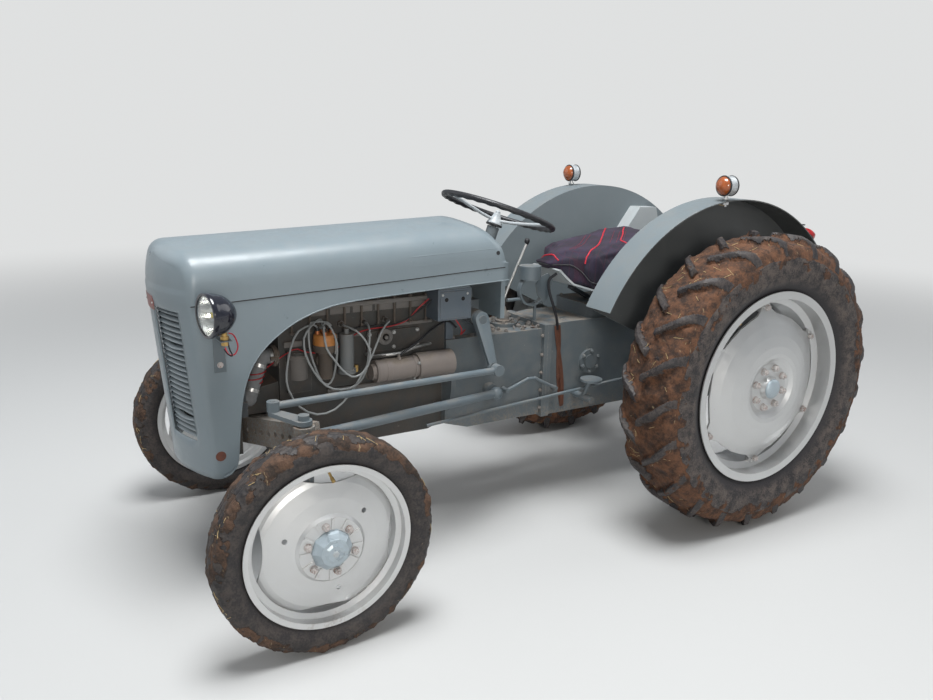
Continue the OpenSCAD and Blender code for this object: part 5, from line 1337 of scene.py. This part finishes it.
def housing_details():
    """Heads on the gearbox and rear housing, and the drain fitting."""
    flange = [(0.141, 0.43), (0.141, 0.505), (0.141, 0.58), (0.141, 0.655), (0.141, 0.735), (0.105, 0.7705),
              (0.035, 0.7705)]
    bolts("flange_bolts", [P(s * x, -0.6585, z) for s in (1, -1) for x, z in flange], (0, -1, 0), 0.007,
          0.008, "dusty_grey")
    top = [P(0.046 * math.cos(a), -0.763 + 0.046 * math.sin(a), 0.7762)
           for a in (0.5, 1.57, 2.64, 3.67, 4.71, 5.76)]
    top += [P(x, y, 0.7625) for x in (-0.112, 0.112) for y in (-1.06, -0.98, -0.9, -0.82, -0.74, -0.675)]
    top += [P(x, y, 0.8352) for x in (-0.105, 0.105) for y in (-0.39, -0.29, -0.19, -0.09, 0.02)]
    bolts("cover_top_bolts", top, (0, 0, 1), 0.008, 0.0075, "dusty_grey")
    rings = ((0.1472, -0.412, 0.6, 0.0435, (0.4, 1.45, 2.5, 3.54, 4.6, 5.6)),
             (0.1602, 0.0, 0.59, 0.13, [0.3 + 0.628 * k for k in range(10)]))
    disc = [(P(s * x, y + r * math.cos(a), z + r * math.sin(a)), (s, 0, 0)) for x, y, z, r, turns in rings
            for s in (1, -1) for a in turns]
    bolts("housing_bolts", disc, None, 0.0075, 0.007, "casting_paint")
    drain = [(0.013, 0.1155, 0.7, 0.128, 0.7, 6), (0.008, 0.127, 0.7, 0.142, 0.7, 16),
             (0.01, 0.141, 0.693, 0.141, 0.716, 6)]
    joined("drain_fitting", [cylinder(r, P(x, -1.47, z), P(x2, -1.47, z2), n)
                             for r, x, z, x2, z2, n in drain], "brass")


def control_details():
    """The gear ball, the regulator's lid with its holes painted as dark discs of shade, the bonnet's plugs
    and the bare badge plate.
    """
    gear = [(0, -0.763, 0.822), (0, -0.761, 0.85), (0, -0.757, 0.876), (0, -0.735, 0.93), (0, -0.659, 1.091)]
    ball = [(-0.015, 0.0), (-0.015, 0.006), (-0.0105, 0.0072), (-0.007, 0.0098), (0.0, 0.0115),
            (0.007, 0.0091), (0.01, 0.0056), (0.0115, 0.0)]
    boot = [(0.776, 0.0), (0.776, 0.032), (0.784, 0.0325), (0.788, 0.0265), (0.8, 0.0268), (0.812, 0.022),
            (0.822, 0.013), (0.836, 0.0095), (0.838, 0.0)]
    wires("gear_rod", [path_of(gear)], 0.0055, "bright_steel", sides=12, per=4)
    lathe("gear_ball", ball, P(0, -0.659, 1.1), "Z", "rim_black", steps=32)
    lathe("gear_boot", boot, P(0, -0.763, 0), "Z", "dusty_grey", steps=40, stands_for=("gear_lever",))
    joined("regulator_lid", [rounded_box((0.0965, 0.132, 0.006), 0.0025, P(0.169, -1.1165, 0.9775))],
           "sheet_paint")
    joined("regulator_plate", [rounded_box((0.003, 0.12, 0.098), 0.0012, P(0.2212, -1.1165, 0.918))],
           "box_paint")
    # Flat dark discs stand for the lid's two holes: painted shade where the holes would be
    joined("regulator_hole_shade_discs", [cylinder(0.0075, P(0.2226, y, 0.938), P(0.2231, y, 0.938), 20)
                               for y in (-1.152, -1.084)], "dark_seam_and_hole_shade")
    bolts("regulator_screws", [P(0.2227, y, 0.956) for y in (-1.168, -1.066)], (1, 0, 0), 0.0042, 0.003)
    plugs = [cylinder(0.0075, P(s * 0.24, -0.957, 1.1), P(s * 0.2505, -0.957, 1.1), 16) for s in (1, -1)]
    joined("bonnet_plugs", plugs, "rubber_black", "bonnet_shell")
    # The plate lies just over the bowed nose, with its edge turned down
    verts = []
    cols, rows = 15, 5
    for front in (False, True):
        for j in range(rows):
            for i in range(cols):
                x, z = -0.056 + 0.107 * i / (cols - 1), 0.955 + 0.045 * j / (rows - 1)
                off = 0.0006
                if front:
                    off = 0.0026 if 0 < i < cols - 1 and 0 < j < rows - 1 else 0.0036
                verts.append(P(x, nose_face(x, z) - off, z))
    n = rows * cols
    faces = grid_faces(rows, cols)
    faces += [tuple(reversed([i + n for i in q])) for q in faces]
    edge = [*range(cols), *range(2 * cols - 1, n, cols), *range(n - 2, n - cols - 1, -1),
            *range(n - 2 * cols, 0, -cols)]
    faces += [(a, b, b + n, a + n) for a, b in zip(edge, edge[1:] + edge[:1])]
    joined("badge_plate", [(verts, faces)], "plate_bare", "bonnet_shell")
    screws = [P(x, nose_face(x, 0.9775) - 0.003, 0.9775) for x in (-0.049, 0.044)]
    bolts("badge_screws", screws, (0, -1, 0), 0.0036, 0.0022, body="bonnet_shell")


# Straw, mud and belts
def straws(name, tyre, centre, body, count, seed, reach, high):
    """Bits of straw caught in the mud of a tyre."""
    rnd = random.Random(seed)
    me = tyre.data
    tree = BVHTree.FromPolygons([v.co for v in me.vertices], [p.vertices[:] for p in me.polygons])
    paths = []
    for _ in range(count * 6):
        a, x = rnd.uniform(0, 2 * math.pi), rnd.uniform(0, high) * rnd.choice((-1, 1))
        turn, half = rnd.uniform(0, math.pi), rnd.uniform(0.006, 0.022)
        pts = []
        for k in (-1, 0, 1):
            b = a + k * half * math.cos(turn) / reach
            out = Vector((0, math.sin(b), math.cos(b)))
            start = centre + Vector((x + k * half * math.sin(turn), 0, 0)) + out * (reach + 0.02)
            hit = tree.ray_cast(start, -out, 0.12)[0]
            if hit is None or hit.z < 0.05 or (hit - centre).yz.length > reach - 0.0025:
                break
            pts.append(hit + out * 0.0007)
        if len(pts) == 3 and (pts[2] - pts[0]).length < half * 3.2:
            paths.append(pts)
        if len(paths) == count:
            break
    wires(name, paths, 0.0009, "straw", body, 4, straight=True)


def clods(name, patches, density, size, seed, material):
    """Lumps of mud and dust scattered over level patches, each a corner and two sizes."""
    verts, faces = [], []
    for (x, y, z), wide, deep in patches:
        n = len(verts)
        verts += [P(x, y, z), P(x + wide, y, z), P(x + wide, y + deep, z), P(x, y + deep, z)]
        faces.append((n, n + 1, n + 2, n + 3))
    source = object_of("source", mesh_of("source", verts, faces))
    grown(name, source, CLODS, "chassis", Density=density, Least=0.25, Most=1.0, Size=size, Seed=seed,
          Material=material)


def ribbon(path, wide, thick):
    """A closed flat strip along a path: (verts, faces)."""
    pts = spline(path, 6)
    across = Vector((0, 1, 0))
    verts = []
    for k, p in enumerate(pts):
        t = (pts[min(k + 1, len(pts) - 1)] - pts[max(k - 1, 0)]).normalized()
        u = (across - t * t.dot(across)).normalized()
        n = t.cross(u)
        for a, b in ((-0.5, -0.2), (-0.42, -0.5), (0.42, -0.5), (0.5, -0.2), (0.5, 0.2), (0.42, 0.5),
                     (-0.42, 0.5), (-0.5, 0.2)):
            verts.append(p + u * (a * wide) + n * (b * thick))
    n = len(verts)
    return verts, grid_faces(len(pts), 8, close_cols=True) + [tuple(reversed(range(8))),
            tuple(range(n - 8, n))]


def strap():
    """A black belt from the seat's front edge, and the brown leather strap with its two strands below it."""

    def low(t, dy, dx):
        return P(0.1375 + dx, -0.591 + dy + 0.0433 * t, 0.77 - 0.352 * t)

    ends = (0.0, 0.12, 0.25, 0.4, 0.55, 0.7, 0.85)
    a = [low(t, 0.0075 * math.cos(5 * t) + 0.002, 0.0018 * math.sin(5 * t)) for t in ends + (1.0,)]
    b = [low(t, 0.002 - 0.0075 * math.cos(5 * t), 0.004 - 0.0018 * math.sin(5 * t)) for t in ends + (0.97,)]
    keeper = [low(t, 0.001, 0.002) for t in (0.6, 0.62, 0.64)]
    joined("strap_strands", [ribbon(a, 0.0185, 0.0038), ribbon(b, 0.017, 0.0038)], "leather_brown",
           stands_for=("strap",), smooth=True)
    joined("strap_keeper", [ribbon(keeper, 0.034, 0.0075)], "leather_brown", smooth=True)
    top = [(0.141, -0.59, 0.752), (0.141, -0.594, 0.792), (0.126, -0.604, 0.85), (0.102, -0.61, 0.905),
           (0.082, -0.598, 0.948), (0.072, -0.556, 0.97)]
    joined("seat_belt", [ribbon(path_of(top), 0.0115, 0.0062)], "wire_black", smooth=True)


# Pieces
bonnet_skin()
bonnet_details()
grille_slats()
TYRES = [(s, w, rear_tyre("rear_tyre_" + w, s), front_tyre("front_tyre_" + w, s)) for s, w in SIDES]
for s, w in SIDES:
    headlamp(s, w)
fender_lamps()
tail_lamp()
seat_cushion()
steering_wheel()
strap()
for s, w in SIDES:
    wheel_details(s, w)
distributor()
hose_details()
block_details()
starter_details()
housing_details()
control_details()
for s, w, rear, front in TYRES:
    straws("rear_straw_" + w, rear, P(s * REAR_X, 0, REAR_R), "rear_wheel_" + w, 130, 11 + s, REAR_R, 0.118)
    straws("front_straw_" + w, front, P(s * FRONT_X, -WHEELBASE, FRONT_R), "front_wheel_" + w, 60, 21 + s,
           FRONT_R, 0.046)
clods("housing_mud", [((-0.1, -0.74, 0.766), 0.21, 0.16), ((-0.12, -0.48, 0.766), 0.24, 0.2)], 520.0, 0.007,
      5, "field_mud")
clods("housing_lumps", [((-0.02, -0.885, 0.766), 0.125, 0.265), ((0.02, -0.545, 0.772), 0.1, 0.1)], 900.0,
      0.014, 8, "dusty_grey")

# Each CAD piece that stays in view gets its finish
FINISH = {
    "block_paint": "front_support engine generator",
    "axle_paint": "front_axle",
    "dark_sheet": "radiator fan seat_spring",
    "rubber_hose": "hoses",
    "dusty_iron": "distributor",
    "filter_paint": "oil_filter",
    "starter_case": "starter",
    "wire_grey": "spark_leads",
    "exhaust_rust": "manifold exhaust",
    "casting_paint": "air_cleaner gearbox rear_housing axle_housings steering_box lift_arms",
    "sheet_paint": "dash fuel_tank bonnet grille",
    "box_paint": "regulator_box",
    "bright_steel": "gear_lever lift_rod_left lift_rod_right",
    "rod_paint": "controls canister radius_rods knuckle_left knuckle_right drop_arm_left drop_arm_right "
                 "drag_link_left drag_link_right lower_link_left lower_link_right",
    "pan_paint": "seat_pan rear_box",
    "fender_paint_and_shade": "fender_left fender_right",
    "lamp_silver": "fender_lamps",
    "tail_red": "tail_lamp",
    "strap_brown": "strap",
    "lamp_dark": "headlamp_left headlamp_right",
    "wheel_black": "steering_wheel",
    "wheel_silver": "front_wheel_left front_wheel_right rear_wheel_left rear_wheel_right",
    "seat_cover": "seat_cushion",
    "front_tyre_mud": "front_tyre_left front_tyre_right",
    "tyre_mud": "rear_tyre_left rear_tyre_right",
}
for material, names in FINISH.items():
    for name in names.split():
        slots = nodes[name].data.materials
        slots.clear()
        slots.append(MATERIALS[material])


# Floor, backdrop and soft light
BACKDROP = (0.74, 0.75, 0.75, 1.0)


def backdrop_mix(g, factor, base):
    """What is seen is the base, or the backdrop's own tone where the factor says so."""
    return g.add("MixShader", factor, base,
                 g.add("Background" if base.node.type == "BACKGROUND" else "Emission",
                       Color=BACKDROP).outputs[0]).outputs[0]


def floor():
    """Pale floor whose far part turns into the backdrop's own tone, so that no horizon shows."""
    m = bpy.data.materials.new("floor_pale")
    m.use_nodes = True
    g = Graph(m.node_tree)
    base = m.node_tree.nodes["Principled BSDF"]
    g.feed(base, Base_Color=(0.5, 0.5, 0.495), Roughness=0.9)
    away = g.add("VectorMath", g.add("TexCoord").outputs["Object"], operation="LENGTH").outputs["Value"]
    seen = g.add("LightPath").outputs
    shown = g.most(seen["Is Camera Ray"], g.most(seen["Is Glossy Ray"], seen["Is Transmission Ray"]))
    surface = backdrop_mix(g, g.mul(g.ramp(away, 3.0, 9.0), shown), base.outputs[0])
    g.put(m.node_tree.nodes["Material Output"].inputs["Surface"], surface)
    bpy.ops.mesh.primitive_plane_add(size=60.0, location=(0, 0, 0))
    ob = bpy.context.object
    ob.name = "floor"
    ob.data.materials.append(m)


def light(name, place, aim, size, power, colour=(1, 1, 1)):
    data = bpy.data.lights.new(name, "AREA")
    data.shape = "DISK"
    data.size = size
    data.energy = power
    data.color = colour
    turn = (Vector(place) - Vector(aim)).to_track_quat("Z", "Y").to_matrix().to_4x4()
    object_of(name, data).matrix_world = Matrix.Translation(Vector(place)) @ turn


def studio():
    world = scene.world = bpy.data.worlds.new("studio")
    world.use_nodes = True
    g = Graph(world.node_tree)
    soft = world.node_tree.nodes["Background"]
    g.feed(soft, Color=(0.9, 0.95, 1.0), Strength=0.36)
    surface = backdrop_mix(g, g.add("LightPath").outputs["Is Camera Ray"], soft.outputs[0])
    g.put(world.node_tree.nodes["World Output"].inputs["Surface"], surface)


floor()
light("key", (1.0, -1.0, 6.0), (0, -0.2, 0.6), 3.0, 450.0, (0.97, 0.99, 1.0))
light("side", (5.8, -2.2, 2.2), (0.4, 0.5, 0.6), 1.8, 110.0, (1.0, 0.96, 0.9))
light("fill", (-4.0, -4.5, 3.5), (0, 0, 0.7), 5.0, 55.0, (0.92, 0.96, 1.0))
light("rear_light", (1.0, 5.0, 4.0), (0, 0, 0.7), 4.0, 60.0)
studio()
scene.view_settings.view_transform = "Standard"
